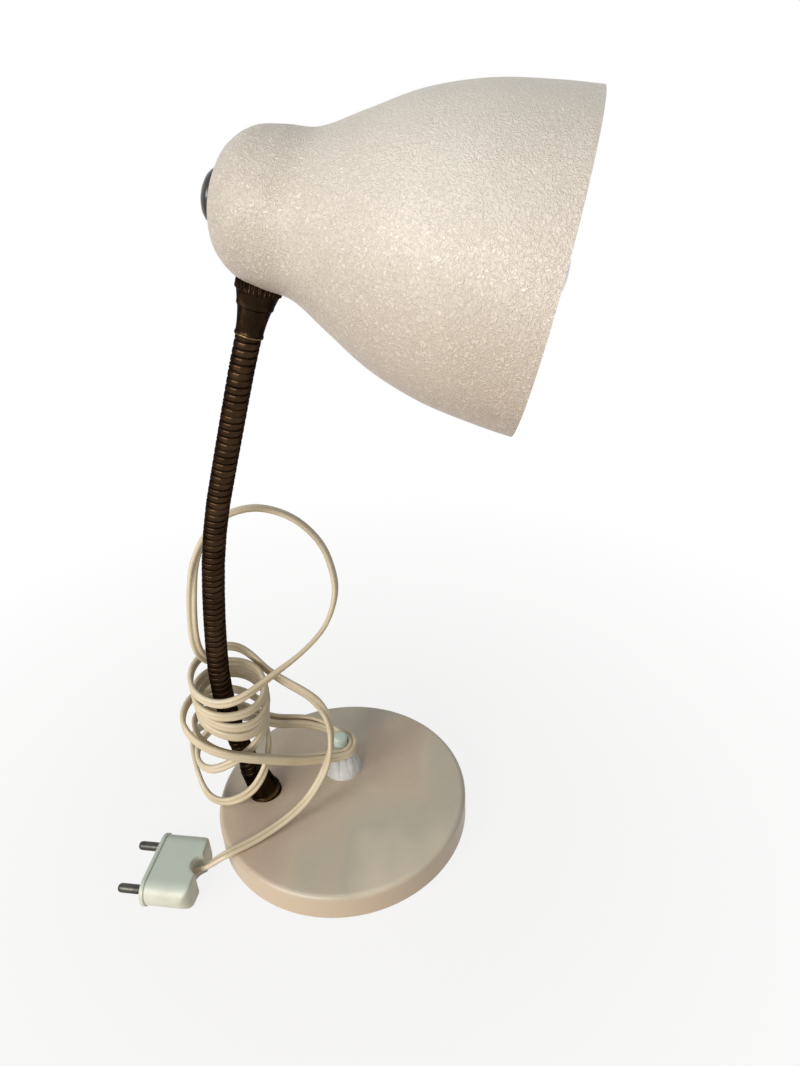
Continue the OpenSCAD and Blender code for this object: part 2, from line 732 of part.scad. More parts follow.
loop_route = [
    [-64, 22.5, 98], [-68, 16.5, 104], [-67.5, 15, 114], [-66.5, 17, 125], [-65, 21, 137.5], [-63.5, 26, 149.5],
    [-60, 32.5, 162], [-54.5, 37.5, 170.5], [-44.5, 42, 178], [-32, 44.5, 180], [-19, 45, 177.5], [-9.5, 44, 172.5],
    [-1.5, 42, 165], [5, 39, 155.5], [8, 35, 145], [9, 30, 135], [6, 24.5, 125.5], [0.5, 18.5, 118],
    [-7.5, 12, 113.5], [-16.5, 6, 110], [-26, 1, 107], [-34, -4, 105], [-42, -9, 102]
];
tail_route = [
    [-43, 27.5, 100.5], [-34, 22.5, 93.5], [-26, 18, 87.5], [-16, 13.8, 81], [-6, 10.5, 70.5], [-3, 7, 58.5],
    [-4.5, 0.5, 46.5], [-8.5, -5.5, 40], [-13.5, -10.5, 34.5], [-21.5, -15.5, 27.5], [-33, -20, 21.5],
    [-45, -25.5, 19.3], [-55, -30, 19], [-63.5, -33, 19], [-69.5, -33.5, 15.8], [-75, -33.3, 11.5], [-84.2, -33, 8.5]
];
neck_coil_x = -56;
neck_coil_y = 9;
neck_coil_z = 65;
neck_coil_h = 40.5;
neck_coil_r = 25;
neck_coil_hole_r = 12.5;
neck_coil_edge = 5;
switch_ring_r = 9.8;
switch_ring_hole_r = 4.4;
switch_ring_lift = 0.1;
switch_ring_h = 6;

// Rings of points square to the lead along its route. Each ring takes its turn from the ring before it
function heading(p, i) = let (d = p[min(i + 1, len(p) - 1)] - p[max(i - 1, 0)]) d / norm(d);
function square_to(u, d) = let (v = u - (u * d) * d) v / norm(v);
function lead_rings(p, r) = [
    for (i = 0, u = square_to([0, 0, 1], heading(p, 0)); i < len(p); i = i + 1,
        u = square_to(u, heading(p, min(i, len(p) - 1))))
        let (w = cross(u, heading(p, i)))
        [for (k = [0 : lead_sides - 1]) let (a = 360 * k / lead_sides) p[i] + r * (cos(a) * u + sin(a) * w)]
];
module cord_start() color(flex) swept(lead_rings(start_route, lead_r));
module cord_band_front() color(flex) swept(lead_rings(band_front_route, band_r));
module cord_band_back() color(flex) swept(lead_rings(band_back_route, band_r));
module cord_loop() color(flex) swept(lead_rings(loop_route, lead_r));
module cord_tail() color(flex) swept(lead_rings(tail_route, lead_r));

// The windings round the neck, as one ring
module cord_neck_coil() {
    color(flex)
    translate([neck_coil_x, neck_coil_y, neck_coil_z]) rotate_extrude() polygon([
        [neck_coil_hole_r, 0], [neck_coil_r - neck_coil_edge, 0], [neck_coil_r, neck_coil_edge],
        [neck_coil_r, neck_coil_h - neck_coil_edge], [neck_coil_r - neck_coil_edge, neck_coil_h],
        [neck_coil_hole_r, neck_coil_h]
    ]);
}

// The two turns round the button
module cord_switch_ring() {
    color(flex)
    at_switch() translate([0, 0, collar_h + switch_ring_lift]) rotate_extrude()
        translate([switch_ring_hole_r, 0]) square([switch_ring_r - switch_ring_hole_r, switch_ring_h]);
}

// Plug, lying on the table on the long edge of its flange
plug_x = -104;
plug_y = -27;
plug_turn = 163;
plug_t = 15;
plug_depth = 26;
lobe_r = 6.5;
plug_half = flange_l / 2 - 2.6;
flange_t = 2.4;
notch_r = 9;
notch_depth = 5;
// Pins point along +X here, and the flange's long side runs along Y
module at_plug() translate([plug_x, plug_y, flange_w / 2]) rotate([0, 0, plug_turn]) children();

// A moulded block with a flange in front, rounded back corners and a notch for the lead between them
module plug_body() {
    color(ivory)
    at_plug() {
        rotate([0, -90, 0]) linear_extrude(flange_t) rotate([0, 0, 90]) stadium(flange_l, flange_w);
        translate([0, 0, -plug_t / 2]) linear_extrude(plug_t) difference() {
            union() {
                translate([-plug_depth + lobe_r, -plug_half]) square([plug_depth - lobe_r - flange_t / 2, 2 * plug_half]);
                translate([-plug_depth, -plug_half + lobe_r]) square([lobe_r + 1, 2 * (plug_half - lobe_r)]);
                for (side = [-1, 1]) translate([-plug_depth + lobe_r, side * (plug_half - lobe_r)]) circle(lobe_r);
            }
            translate([-plug_depth - notch_r + notch_depth, 0]) circle(notch_r);
        }
    }
}
module stadium(l, w) {
    for (side = [-1, 1]) translate([side * (l - w) / 2, 0]) circle(d = w);
    square([l - w, w], center = true);
}

module plug_pins() {
    color("#5b5a57")
    at_plug() for (side = [-1, 1]) translate([0, side * pin_spacing / 2, 0]) rotate([0, 90, 0]) {
        cylinder(d = pin_d, h = pin_l - 1);
        translate([0, 0, pin_l - 1]) cylinder(d1 = pin_d, d2 = pin_d - 1.6, h = 1);
    }
}

base_shell();
ballast_ring();
closing_plate();
plate_screws();
felt_pad();
cord_grommet();
switch_collar();
push_button();
switch_body();
switch_nut();
switch_spring();
foot_ferrule();
foot_nipple();
foot_wedge_washer();
foot_nut();
gooseneck_foot();
gooseneck_01();
gooseneck_02();
gooseneck_03();
gooseneck_04();
gooseneck_05();
gooseneck_06();
gooseneck_07();
gooseneck_08();
gooseneck_09();
gooseneck_10();
gooseneck_11();
top_ferrule();
head_nipple();
head_nut();
knurled_saddle();
saddle_washer();
shade();
rear_cap();
holder_body();
holder_insert();
holder_contact();
holder_screw_shell();
holder_skirt();
bulb_cap();
bulb_tip_contact();
bulb_glass();
bulb_stem();
bulb_filament();
cord_start();
cord_neck_coil();
cord_band_front();
cord_band_back();
cord_switch_ring();
cord_loop();
cord_tail();
plug_body();
plug_pins();
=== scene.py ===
import json
import math

import bpy
from mathutils import Matrix, Vector


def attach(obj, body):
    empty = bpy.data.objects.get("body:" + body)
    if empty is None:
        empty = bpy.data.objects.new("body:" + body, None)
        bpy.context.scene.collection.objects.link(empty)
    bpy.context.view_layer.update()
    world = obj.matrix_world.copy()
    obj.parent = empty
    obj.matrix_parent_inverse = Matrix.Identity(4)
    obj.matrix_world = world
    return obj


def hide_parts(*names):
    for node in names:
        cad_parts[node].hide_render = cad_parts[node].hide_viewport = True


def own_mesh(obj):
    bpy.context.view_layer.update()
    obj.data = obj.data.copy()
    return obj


# The lamp stands on a table top, in metres, Z up, with the middle of the base's underside at 0.
# Each hinge of the neck and the turn of the shade give places that later pieces are built on.
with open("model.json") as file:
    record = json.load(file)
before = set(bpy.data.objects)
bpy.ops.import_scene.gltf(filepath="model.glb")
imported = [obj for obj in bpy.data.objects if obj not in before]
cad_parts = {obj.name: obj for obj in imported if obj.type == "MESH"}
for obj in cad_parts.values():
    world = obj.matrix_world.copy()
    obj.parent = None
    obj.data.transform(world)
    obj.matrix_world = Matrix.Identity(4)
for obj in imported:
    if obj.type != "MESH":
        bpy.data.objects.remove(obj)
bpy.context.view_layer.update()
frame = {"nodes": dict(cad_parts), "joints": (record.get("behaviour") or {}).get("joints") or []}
nodes = frame["nodes"]
hinges = {joint["name"]: joint for joint in frame["joints"]}


# The viewpoint: held about 37 cm above the table and 33 cm in front, looking down at 30 degrees.
# It is turned a little to the right and tipped a little, as a hand-held camera is.
view_place = (0.0, -0.327, 0.372)
view_down = math.radians(30.1)
view_right = math.radians(7.2)
view_tip = math.radians(-3.2)
bpy.ops.object.select_all(action="DESELECT")
bpy.ops.object.camera_add()
camera = bpy.context.object
camera.matrix_world = (
    Matrix.Translation(view_place)
    @ Matrix.Rotation(-view_right, 4, "Z")
    @ Matrix.Rotation(math.pi / 2 - view_down, 4, "X")
    @ Matrix.Rotation(view_tip, 4, "Z")
)
camera.data.sensor_width = 36
camera.data.lens = 27.05
camera.data.clip_start = 0.01
bpy.context.scene.camera = camera


# The table top is plain white board, large enough to reach the horizon. It keeps the lamp's soft shadow,
# and seen directly it is lifted towards white, as paper is.
def new_finish(name, colour, roughness, metallic=0.0):
    """A finish with one shader, and what is needed to add to it."""
    finish = bpy.data.materials.new(name)
    finish.use_nodes = True
    shader = finish.node_tree.nodes["Principled BSDF"]
    shader.inputs["Base Color"].default_value = (*colour, 1)
    shader.inputs["Roughness"].default_value = roughness
    shader.inputs["Metallic"].default_value = metallic
    return finish, finish.node_tree, shader


def dress(piece, finish):
    """The piece gets this finish all over."""
    piece.data.materials.clear()
    piece.data.materials.append(finish)


def seen_directly(tree):
    """One where a surface is seen straight, mirrored or through glass, and nought for light."""
    path = tree.nodes.new("ShaderNodeLightPath")
    by_gloss = tree.nodes.new("ShaderNodeMath")
    by_gloss.operation = "MAXIMUM"
    tree.links.new(path.outputs["Is Glossy Ray"], by_gloss.inputs[0])
    tree.links.new(path.outputs["Is Transmission Ray"], by_gloss.inputs[1])
    by_all = tree.nodes.new("ShaderNodeMath")
    by_all.operation = "MAXIMUM"
    tree.links.new(path.outputs["Is Camera Ray"], by_all.inputs[0])
    tree.links.new(by_gloss.outputs[0], by_all.inputs[1])
    return by_all.outputs[0]


table_size = 12
white_from, white_to = 0.12, 0.4
table_finish, tree, shader = new_finish("white_table_board", (0.48, 0.43, 0.38), 0.7)
shader.inputs["Specular IOR Level"].default_value = 0.15
glow = tree.nodes.new("ShaderNodeEmission")
glow.inputs["Color"].default_value = (1, 1, 1, 1)
table_place = tree.nodes.new("ShaderNodeTexCoord")
table_far = tree.nodes.new("ShaderNodeVectorMath")
table_far.operation = "LENGTH"
tree.links.new(table_place.outputs["Object"], table_far.inputs[0])
table_white = tree.nodes.new("ShaderNodeMapRange")
table_white.inputs["From Min"].default_value = white_from
table_white.inputs["From Max"].default_value = white_to
table_white.inputs["To Min"].default_value = 0.86
table_white.inputs["To Max"].default_value = 1.0
tree.links.new(table_far.outputs["Value"], table_white.inputs["Value"])
seen_share = tree.nodes.new("ShaderNodeMath")
seen_share.operation = "MULTIPLY"
tree.links.new(seen_directly(tree), seen_share.inputs[0])
tree.links.new(table_white.outputs["Result"], seen_share.inputs[1])
blend = tree.nodes.new("ShaderNodeMixShader")
tree.links.new(seen_share.outputs[0], blend.inputs["Fac"])
tree.links.new(shader.outputs["BSDF"], blend.inputs[1])
tree.links.new(glow.outputs["Emission"], blend.inputs[2])
tree.links.new(blend.outputs["Shader"], tree.nodes["Material Output"].inputs["Surface"])
bpy.ops.object.select_all(action="DESELECT")
bpy.ops.mesh.primitive_plane_add(size=table_size, location=(0, table_size / 4, 0))
table_top = bpy.context.object
table_top.name = "table_top"
bpy.ops.object.transform_apply(location=True, rotation=True, scale=True)
dress(table_top, table_finish)

# A white room: its light is soft and even, and it is plain white behind the lamp.
room = bpy.data.worlds.new("white_room")
bpy.context.scene.world = room
room.use_nodes = True
room_tree = room.node_tree
room_light = room_tree.nodes["Background"]
room_light.inputs["Color"].default_value = (0.95, 0.98, 1.0, 1)
room_light.inputs["Strength"].default_value = 0.4
room_white = room_tree.nodes.new("ShaderNodeBackground")
room_white.inputs["Color"].default_value = (1, 1, 1, 1)
room_white.inputs["Strength"].default_value = 1.0
room_mix = room_tree.nodes.new("ShaderNodeMixShader")
room_tree.links.new(seen_directly(room_tree), room_mix.inputs["Fac"])
room_tree.links.new(room_light.outputs["Background"], room_mix.inputs[1])
room_tree.links.new(room_white.outputs["Background"], room_mix.inputs[2])
room_tree.links.new(room_mix.outputs["Shader"], room_tree.nodes["World Output"].inputs["Surface"])

# Two soft lamps: a cool one on the left, as a window is, and a warmer one in front of it.
for lamp_name, place, aim, width, power, colour in (
    ("lamp_left", (-1.0, -0.62, 0.72), (0.03, -0.02, 0.3), 0.6, 8.8, (0.97, 0.99, 1.0)),
    ("lamp_front", (-0.62, -1.05, 0.5), (0, 0, 0.15), 0.5, 7.6, (1.0, 0.95, 0.88)),
):
    bpy.ops.object.select_all(action="DESELECT")
    bpy.ops.object.light_add(type="AREA", location=place)
    lamp = bpy.context.object
    lamp.name = lamp_name
    lamp.data.shape = "DISK"
    lamp.data.size = width
    lamp.data.energy = power
    lamp.data.color = colour
    lamp.rotation_euler = (Vector(aim) - Vector(place)).to_track_quat("-Z", "Y").to_euler()

bpy.context.scene.view_settings.view_transform = "Standard"


# The base is a dish of pressed sheet steel, upside down, 140 mm across and 17 mm high.
# It has a soft upper edge and the shade's beige stove lacquer, but smoother, with a satin sheen.
def turned(name, outline, steps=96, ends=True):
    """A piece turned on a lathe about the Z axis, from marks of radius and height."""
    bpy.ops.object.select_all(action="DESELECT")
    radius, height = outline[0]
    bpy.ops.mesh.primitive_circle_add(vertices=steps, radius=radius)
    piece = bpy.context.object
    piece.name = name
    bpy.ops.object.mode_set(mode="EDIT")
    bpy.ops.mesh.select_all(action="SELECT")
    bpy.ops.transform.translate(value=(0, 0, height))
    for next_radius, next_height in outline[1:]:
        bpy.ops.mesh.extrude_region_move(
            TRANSFORM_OT_translate={"value": (0, 0, next_height - height)}
        )
        grow = next_radius / radius
        bpy.ops.transform.resize(value=(grow, grow, 1), center_override=(0, 0, next_height))
        radius, height = next_radius, next_height
    bpy.ops.mesh.select_all(action="SELECT")
    if ends:
        bpy.ops.mesh.fill_holes(sides=0)
        bpy.ops.mesh.select_all(action="SELECT")
    bpy.ops.mesh.normals_make_consistent(inside=False)
    bpy.ops.object.mode_set(mode="OBJECT")
    return piece


def take(*pieces):
    """Only these pieces are selected, and the first is the active one."""
    bpy.ops.object.select_all(action="DESELECT")
    for piece in pieces:
        piece.select_set(True)
    bpy.context.view_layer.objects.active = pieces[0]


def set_modifier(piece, kind, **settings):
    """Adds one modifier and applies it."""
    take(piece)
    modifier = piece.modifiers.new(kind.lower(), kind)
    for setting, value in settings.items():
        setattr(modifier, setting, value)
    bpy.ops.object.modifier_apply(modifier=modifier.name)


def put(piece, place, angle=35):
    """The piece is moved to its place for good, and its round sides are smoothed."""
    take(piece)
    piece.matrix_world = place
    bpy.ops.object.transform_apply(location=True, rotation=True, scale=True)
    bpy.ops.object.shade_smooth_by_angle(angle=math.radians(angle))


def arc_marks(radius, height, round_r, start, end, steps):
    """Marks of a rounded corner about a point, from one angle to another in degrees."""
    marks = []
    for step in range(steps + 1):
        angle = math.radians(start + (end - start) * step / steps)
        marks.append((radius + round_r * math.cos(angle), height + round_r * math.sin(angle)))
    return marks


def noise(tree, scale, detail=3.0, share=0.5, stretch=(1, 1, 1)):
    """A cloudy pattern in the piece's own measures."""
    place = tree.nodes.new("ShaderNodeTexCoord")
    turn = tree.nodes.new("ShaderNodeMapping")
    turn.inputs["Scale"].default_value = stretch
    cloud = tree.nodes.new("ShaderNodeTexNoise")
    cloud.inputs["Scale"].default_value = scale
    cloud.inputs["Detail"].default_value = detail
    cloud.inputs["Roughness"].default_value = share
    tree.links.new(place.outputs["Object"], turn.inputs["Vector"])
    tree.links.new(turn.outputs["Vector"], cloud.inputs["Vector"])
    return cloud.outputs["Fac"]


def ramp(tree, value, stops):
    """Colours or levels along a value. Each stop is a place and a colour or a level."""
    scale = tree.nodes.new("ShaderNodeValToRGB")
    scale.color_ramp.elements.remove(scale.color_ramp.elements[1])
    for number, (place, colour) in enumerate(stops):
        if number:
            stop = scale.color_ramp.elements.new(place)
        else:
            stop = scale.color_ramp.elements[0]
            stop.position = place
        stop.color = (*colour, 1) if isinstance(colour, tuple) else (colour, colour, colour, 1)
    tree.links.new(value, scale.inputs["Fac"])
    return scale.outputs["Color"]


def mixed(tree, share, first, second, way="MIX"):
    """Two colours mixed by a share. Each is an output or a plain colour or number."""
    mix = tree.nodes.new("ShaderNodeMix")
    mix.data_type = "RGBA"
    mix.blend_type = way
    for socket, value in ((mix.inputs[0], share), (mix.inputs[6], first), (mix.inputs[7], second)):
        if isinstance(value, bpy.types.NodeSocket):
            tree.links.new(value, socket)
        elif isinstance(value, tuple):
            socket.default_value = (*value, 1)
        else:
            socket.default_value = value
    return mix.outputs[2]


def along(tree, axis, start, end, most=1.0):
    """A level that grows from nought at one place on an axis to its most at another."""
    place = tree.nodes.new("ShaderNodeTexCoord")
    parts = tree.nodes.new("ShaderNodeSeparateXYZ")
    level = tree.nodes.new("ShaderNodeMapRange")
    level.inputs["From Min"].default_value = start
    level.inputs["From Max"].default_value = end
    level.inputs["To Max"].default_value = most
    tree.links.new(place.outputs["Object"], parts.inputs["Vector"])
    tree.links.new(parts.outputs[axis], level.inputs["Value"])
    return level.outputs["Result"]


def clouded(tree, socket, pattern, stops):
    """A socket takes its colour or level from a pattern."""
    tree.links.new(ramp(tree, pattern, stops), socket)


def bumps(tree, shader, height, depth, strength=1.0, under=None):
    """Raises the surface by a pattern, over an earlier pattern where one is given."""
    relief = tree.nodes.new("ShaderNodeBump")
    relief.inputs["Strength"].default_value = strength
    relief.inputs["Distance"].default_value = depth
    tree.links.new(height, relief.inputs["Height"])
    if under:
        tree.links.new(under, relief.inputs["Normal"])
    tree.links.new(relief.outputs["Normal"], shader.inputs["Normal"])
    return relief.outputs["Normal"]


base_r = 0.070
base_h = 0.017
base_edge = 0.003
base_wall_h = base_h - base_edge - 0.001
base_middle_r = 0.002
base_lift = 0.0008
base_sheet = 0.001
base_colour = (0.52, 0.425, 0.315)
base_pale = (0.60, 0.52, 0.40)
base_olive_reflection = (0.45, 0.405, 0.31)
base_pink_reflection = (0.46, 0.345, 0.255)
base_wall = (0.54, 0.425, 0.297)
base_finish, tree, shader = new_finish("beige_base_lacquer", base_colour, 0.42)
patches = noise(tree, 15, 2.5, 0.5, (1, 0.6, 1))
fine = noise(tree, 900, 3, 0.6)
# Painted reflections: the pink and olive patches stand for the shade and the room mirrored in the satin
# lacquer.
patched = ramp(tree, patches,
               ((0.34, base_pink_reflection), (0.47, base_colour), (0.56, base_olive_reflection), (0.68, base_pale)))
flecked = mixed(tree, ramp(tree, fine, ((0.35, 0.0), (0.75, 0.2))), patched, base_pale)
# Painted light: the side wall is painted a warmer tone than the top, for the warm front light on it.
lit_wall_share = along(tree, "Z", base_h - 0.0006, base_wall_h)
tree.links.new(mixed(tree, lit_wall_share, flecked, base_wall), shader.inputs["Base Color"])
clouded(tree, shader.inputs["Roughness"], patches, ((0.3, 0.46), (0.7, 0.34)))
bumps(tree, shader, fine, 0.00012, 0.6)
shader.inputs["Coat Weight"].default_value = 0.12
shader.inputs["Coat Roughness"].default_value = 0.25

base_shell = turned(
    "lamp_base",
    [(base_r - 0.0005, base_lift), (base_r, base_lift + 0.0006), (base_r, base_wall_h)]
    + arc_marks(base_r - base_edge, base_h - base_edge, base_edge, 0, 90, 8)
    + [(base_r - 0.012, base_h), (0.030, base_h), (base_middle_r, base_h)],
    steps=160, ends=False,
)
bpy.ops.object.mode_set(mode="EDIT")
bpy.ops.mesh.select_all(action="DESELECT")
bpy.ops.object.mode_set(mode="OBJECT")
for vertex in base_shell.data.vertices:
    vertex.select = math.hypot(vertex.co.x, vertex.co.y) < 1.5 * base_middle_r
bpy.ops.object.mode_set(mode="EDIT")
bpy.ops.mesh.merge(type="CENTER")
bpy.ops.mesh.select_all(action="SELECT")
bpy.ops.mesh.normals_make_consistent(inside=False)
bpy.ops.object.mode_set(mode="OBJECT")
set_modifier(base_shell, "SOLIDIFY", thickness=base_sheet, offset=-1, use_even_offset=True)
put(base_shell, Matrix.Identity(4))
dress(base_shell, base_finish)
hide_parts("base_shell")
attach(base_shell, "base")


# Under the base: a cast ballast ring, a steel closing plate with three screws, and a felt pad.
# They are seen from below only, and keep their plain turned and stamped shapes.
steel_finish, tree, shader = new_finish("bright_steel", (0.5, 0.5, 0.49), 0.34, 1.0)
clouded(tree, shader.inputs["Roughness"], noise(tree, 300, 4, 0.6), ((0.3, 0.26), (0.7, 0.45)))
iron_finish, tree, shader = new_finish("raw_cast_iron", (0.09, 0.088, 0.085), 0.7, 0.6)
iron_grain = noise(tree, 700, 5, 0.65)
clouded(tree, shader.inputs["Base Color"], iron_grain,
        ((0.3, (0.05, 0.048, 0.046)), (0.7, (0.15, 0.14, 0.13))))
bumps(tree, shader, iron_grain, 0.0004)
felt_finish, tree, shader = new_finish("green_pressed_felt", (0.06, 0.085, 0.045), 0.95)
felt_fibre = noise(tree, 2600, 4, 0.7, (1, 1, 0.4))
clouded(tree, shader.inputs["Base Color"], felt_fibre,
        ((0.3, (0.035, 0.055, 0.028)), (0.7, (0.11, 0.14, 0.075))))
bumps(tree, shader, felt_fibre, 0.0003)
shader.inputs["Sheen Weight"].default_value = 0.4
for node_name, finish in (
    ("ballast_ring", iron_finish), ("closing_plate", steel_finish),
    ("plate_screws", steel_finish), ("felt_pad", felt_finish),
):
    dress(nodes[node_name], finish)


# The bush in the back of the base, where the lead comes out: a moulded ring of yellowed ivory plastic.
# Pieces whose shape is right as drawn are copied, and only their round sides are smoothed.
def smoothed(node_name, name, finish, body, angle=30):
    """A copy of a drawn piece with its loose faces joined and its round sides smooth."""
    piece = nodes[node_name].copy()
    piece.data = nodes[node_name].data.copy()
    piece.name = name
    for key in list(piece.keys()):
        if key.startswith("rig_"):
            del piece[key]
    piece.parent = None
    bpy.context.scene.collection.objects.link(piece)
    take(piece)
    bpy.ops.object.mode_set(mode="EDIT")
    bpy.ops.mesh.select_all(action="SELECT")
    bpy.ops.mesh.remove_doubles(threshold=0.000002)
    bpy.ops.object.mode_set(mode="OBJECT")
    put(piece, Matrix.Identity(4), angle)
    dress(piece, finish)
    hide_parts(node_name)
    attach(piece, body)
    return piece


ivory_finish, tree, shader = new_finish("yellowed_ivory_plastic", (0.70, 0.70, 0.56), 0.38)
ivory_stain = noise(tree, 60, 3, 0.6)
ivory_tone = ramp(tree, ivory_stain,
                  ((0.3, (0.52, 0.51, 0.395)), (0.5, (0.59, 0.60, 0.49)), (0.75, (0.63, 0.64, 0.55))))
# Painted shade: above 14 mm the ivory is painted greyer and darker, which darkens the plug's top.
ivory_shaded_top = (0.47, 0.53, 0.46)
shaded_top_from, shaded_top_to = 0.0142, 0.0160
shaded_top_share = along(tree, "Z", shaded_top_from, shaded_top_to, 0.85)
tree.links.new(mixed(tree, shaded_top_share, ivory_tone, ivory_shaded_top), shader.inputs["Base Color"])
clouded(tree, shader.inputs["Roughness"], noise(tree, 420, 4, 0.6), ((0.3, 0.3), (0.7, 0.5)))
bumps(tree, shader, noise(tree, 1500, 2, 0.5), 0.00005, 0.5)
shader.inputs["Subsurface Weight"].default_value = 0.08
shader.inputs["Subsurface Radius"].default_value = (0.004, 0.003, 0.002)
smoothed("cord_grommet", "lead_bush", ivory_finish, "base")


# The switch: a white fluted collar screws down on it from above, and a mint button stands out of it.
# The body with its nut and spring sits under the sheet. In the real switch the spring shortens as the
# button goes down.
white_finish, tree, shader = new_finish("white_moulded_collar", (0.74, 0.74, 0.71), 0.3)
clouded(tree, shader.inputs["Base Color"], noise(tree, 160, 3, 0.55),
        ((0.3, (0.54, 0.53, 0.50)), (0.65, (0.64, 0.64, 0.62))))
clouded(tree, shader.inputs["Roughness"], noise(tree, 500, 3, 0.6), ((0.3, 0.24), (0.7, 0.42)))
shader.inputs["Subsurface Weight"].default_value = 0.1
shader.inputs["Subsurface Radius"].default_value = (0.003, 0.003, 0.0025)
smoothed("switch_collar", "switch_collar_fluted", white_finish, "base", angle=24)

mint_finish, tree, shader = new_finish("mint_button_plastic", (0.56, 0.66, 0.56), 0.28)
clouded(tree, shader.inputs["Base Color"], noise(tree, 240, 3, 0.55),
        ((0.3, (0.50, 0.60, 0.50)), (0.7, (0.64, 0.74, 0.64))))
shader.inputs["Subsurface Weight"].default_value = 0.15
shader.inputs["Subsurface Radius"].default_value = (0.002, 0.003, 0.002)
switch_x = 0.002
switch_y = 0.0165
button_top = 0.025
button_r = 0.004
button_flange_r = 0.0055
button_round = 0.0013
button = turned(
    "switch_button",
    [(0.0053, -0.0053), (button_flange_r, -0.0051), (button_flange_r, -0.0045), (0.0053, -0.0043),
        (button_r, -0.0043), (button_r, 0.010), (button_r, 0.020)]
    + arc_marks(button_r - button_round, button_top - 0.0014, button_round, 0, 80, 6)
    + [(0.0018, button_top - 0.00002), (0.0006, button_top)],
    steps=64,
)
put(button, Matrix.Translation((switch_x, switch_y, base_h)))
dress(button, mint_finish)
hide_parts("push_button")
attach(button, "push_button")

black_finish, tree, shader = new_finish("black_phenolic", (0.012, 0.010, 0.009), 0.22)
clouded(tree, shader.inputs["Base Color"], noise(tree, 350, 4, 0.6),
        ((0.4, (0.010, 0.009, 0.008)), (0.75, (0.032, 0.024, 0.018))))
clouded(tree, shader.inputs["Roughness"], noise(tree, 90, 4, 0.6), ((0.3, 0.14), (0.7, 0.34)))
dress(nodes["switch_body"], black_finish)
dress(nodes["switch_nut"], steel_finish)
spring = smoothed("switch_spring", "switch_spring_wound", steel_finish, "base", angle=70)
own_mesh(spring)


# Foot of the neck: a turned brass ferrule, lacquered nearly black, its bead painted gold as wear and
# painted highlight.
# It leans with the neck. The nipple, wedge washer and nut under the sheet hold it.
turned_brass, tree, shader = new_finish("dark_lacquered_brass", (0.045, 0.028, 0.014), 0.26, 0.9)
shader.inputs["Specular Tint"].default_value = (0.10, 0.07, 0.05, 1)
brass_wear = noise(tree, 150, 3, 0.55, (1, 1, 0.6))
brass_tone = ramp(tree, brass_wear, ((0.3, (0.010, 0.006, 0.003)), (0.6, (0.026, 0.015, 0.008)),
                                     (0.8, (0.090, 0.054, 0.029))))
# Wear and painted highlight: the marked bands are painted bare brass.
worn_glint = tree.nodes.new("ShaderNodeAttribute")
worn_glint.attribute_name = "worn_glint"
bare_brass_glint = (0.17, 0.11, 0.05)
tree.links.new(mixed(tree, worn_glint.outputs["Fac"], brass_tone, bare_brass_glint), shader.inputs["Base Color"])
clouded(tree, shader.inputs["Roughness"], noise(tree, 380, 3, 0.55), ((0.3, 0.16), (0.7, 0.30)))


def paint_worn_glint(piece, ranges):
    """Marks the heights at which the piece is painted bare brass, as wear and painted highlight."""
    bare = piece.data.attributes.new("worn_glint", "FLOAT", "POINT")
    for vertex in piece.data.vertices:
        bare.data[vertex.index].value = any(low <= vertex.co.z <= high for low, high in ranges)


mm = 0.001
neck_turn = math.radians(-6)
foot_lean = math.radians(-14)
foot_place = (
    Matrix.Translation((-0.044, 0.008, base_h))
    @ Matrix.Rotation(neck_turn, 4, "Z")
    @ Matrix.Rotation(foot_lean, 4, "Y")
)
foot_ferrule = turned(
    "foot_ferrule_turned",
    [(r * mm, z * mm) for r, z in (
        (8.7, -4.0), (9.2, -3.4), (9.2, 0.2), (9.25, 0.9), (9.1, 1.6), (8.7, 2.2), (8.2, 2.5),
        (8.25, 3.0), (8.05, 4.2), (7.75, 7.5), (7.45, 11), (7.2, 15), (7.0, 18.5), (6.9, 19.8),
        (6.65, 20.5), (6.35, 20.9), (6.3, 21.4), (6.3, 22.6), (6.1, 23.0), (5.6, 23.0))],
    steps=72,
)
paint_worn_glint(foot_ferrule, ((0.8 * mm, 1.0 * mm),))
take(foot_ferrule)
foot_ferrule.matrix_world = foot_place
bpy.ops.object.transform_apply(location=True, rotation=True, scale=True)
bpy.ops.object.mode_set(mode="EDIT")
bpy.ops.mesh.select_all(action="SELECT")
bpy.ops.mesh.bisect(plane_co=(0, 0, base_h), plane_no=(0, 0, 1), use_fill=True, clear_inner=True)
bpy.ops.object.mode_set(mode="OBJECT")
put(foot_ferrule, Matrix.Identity(4))
dress(foot_ferrule, turned_brass)
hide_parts("foot_ferrule")
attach(foot_ferrule, "base")
for node_name, finish in (
    ("foot_nipple", turned_brass), ("foot_wedge_washer", steel_finish), ("foot_nut", steel_finish),
):
    dress(nodes[node_name], finish)


# The gooseneck is steel strip wound in a helix over a round core, bronzed nearly black, 11 mm across.
# The crest of each winding is painted lighter, as wear and painted highlight, and the root nearly black,
# as painted shade. Eleven stretches move, and the lowest run is stiff.
strip_pitch = 3.3 * mm
strip_r = 5.5 * mm
strip_root = 5.05 * mm
strip_gap = 1.2 * mm
stretch_windings = 5
stretch_l = stretch_windings * strip_pitch
ball_r = 5.15 * mm
bronzed, tree, shader = new_finish("bronzed_steel_strip", (0.040, 0.022, 0.012), 0.3, 0.9)
shader.inputs["Specular Tint"].default_value = (0.09, 0.065, 0.045, 1)
crest = tree.nodes.new("ShaderNodeAttribute")
crest.attribute_name = "crest"
strip_clouds = noise(tree, 130, 4, 0.6)
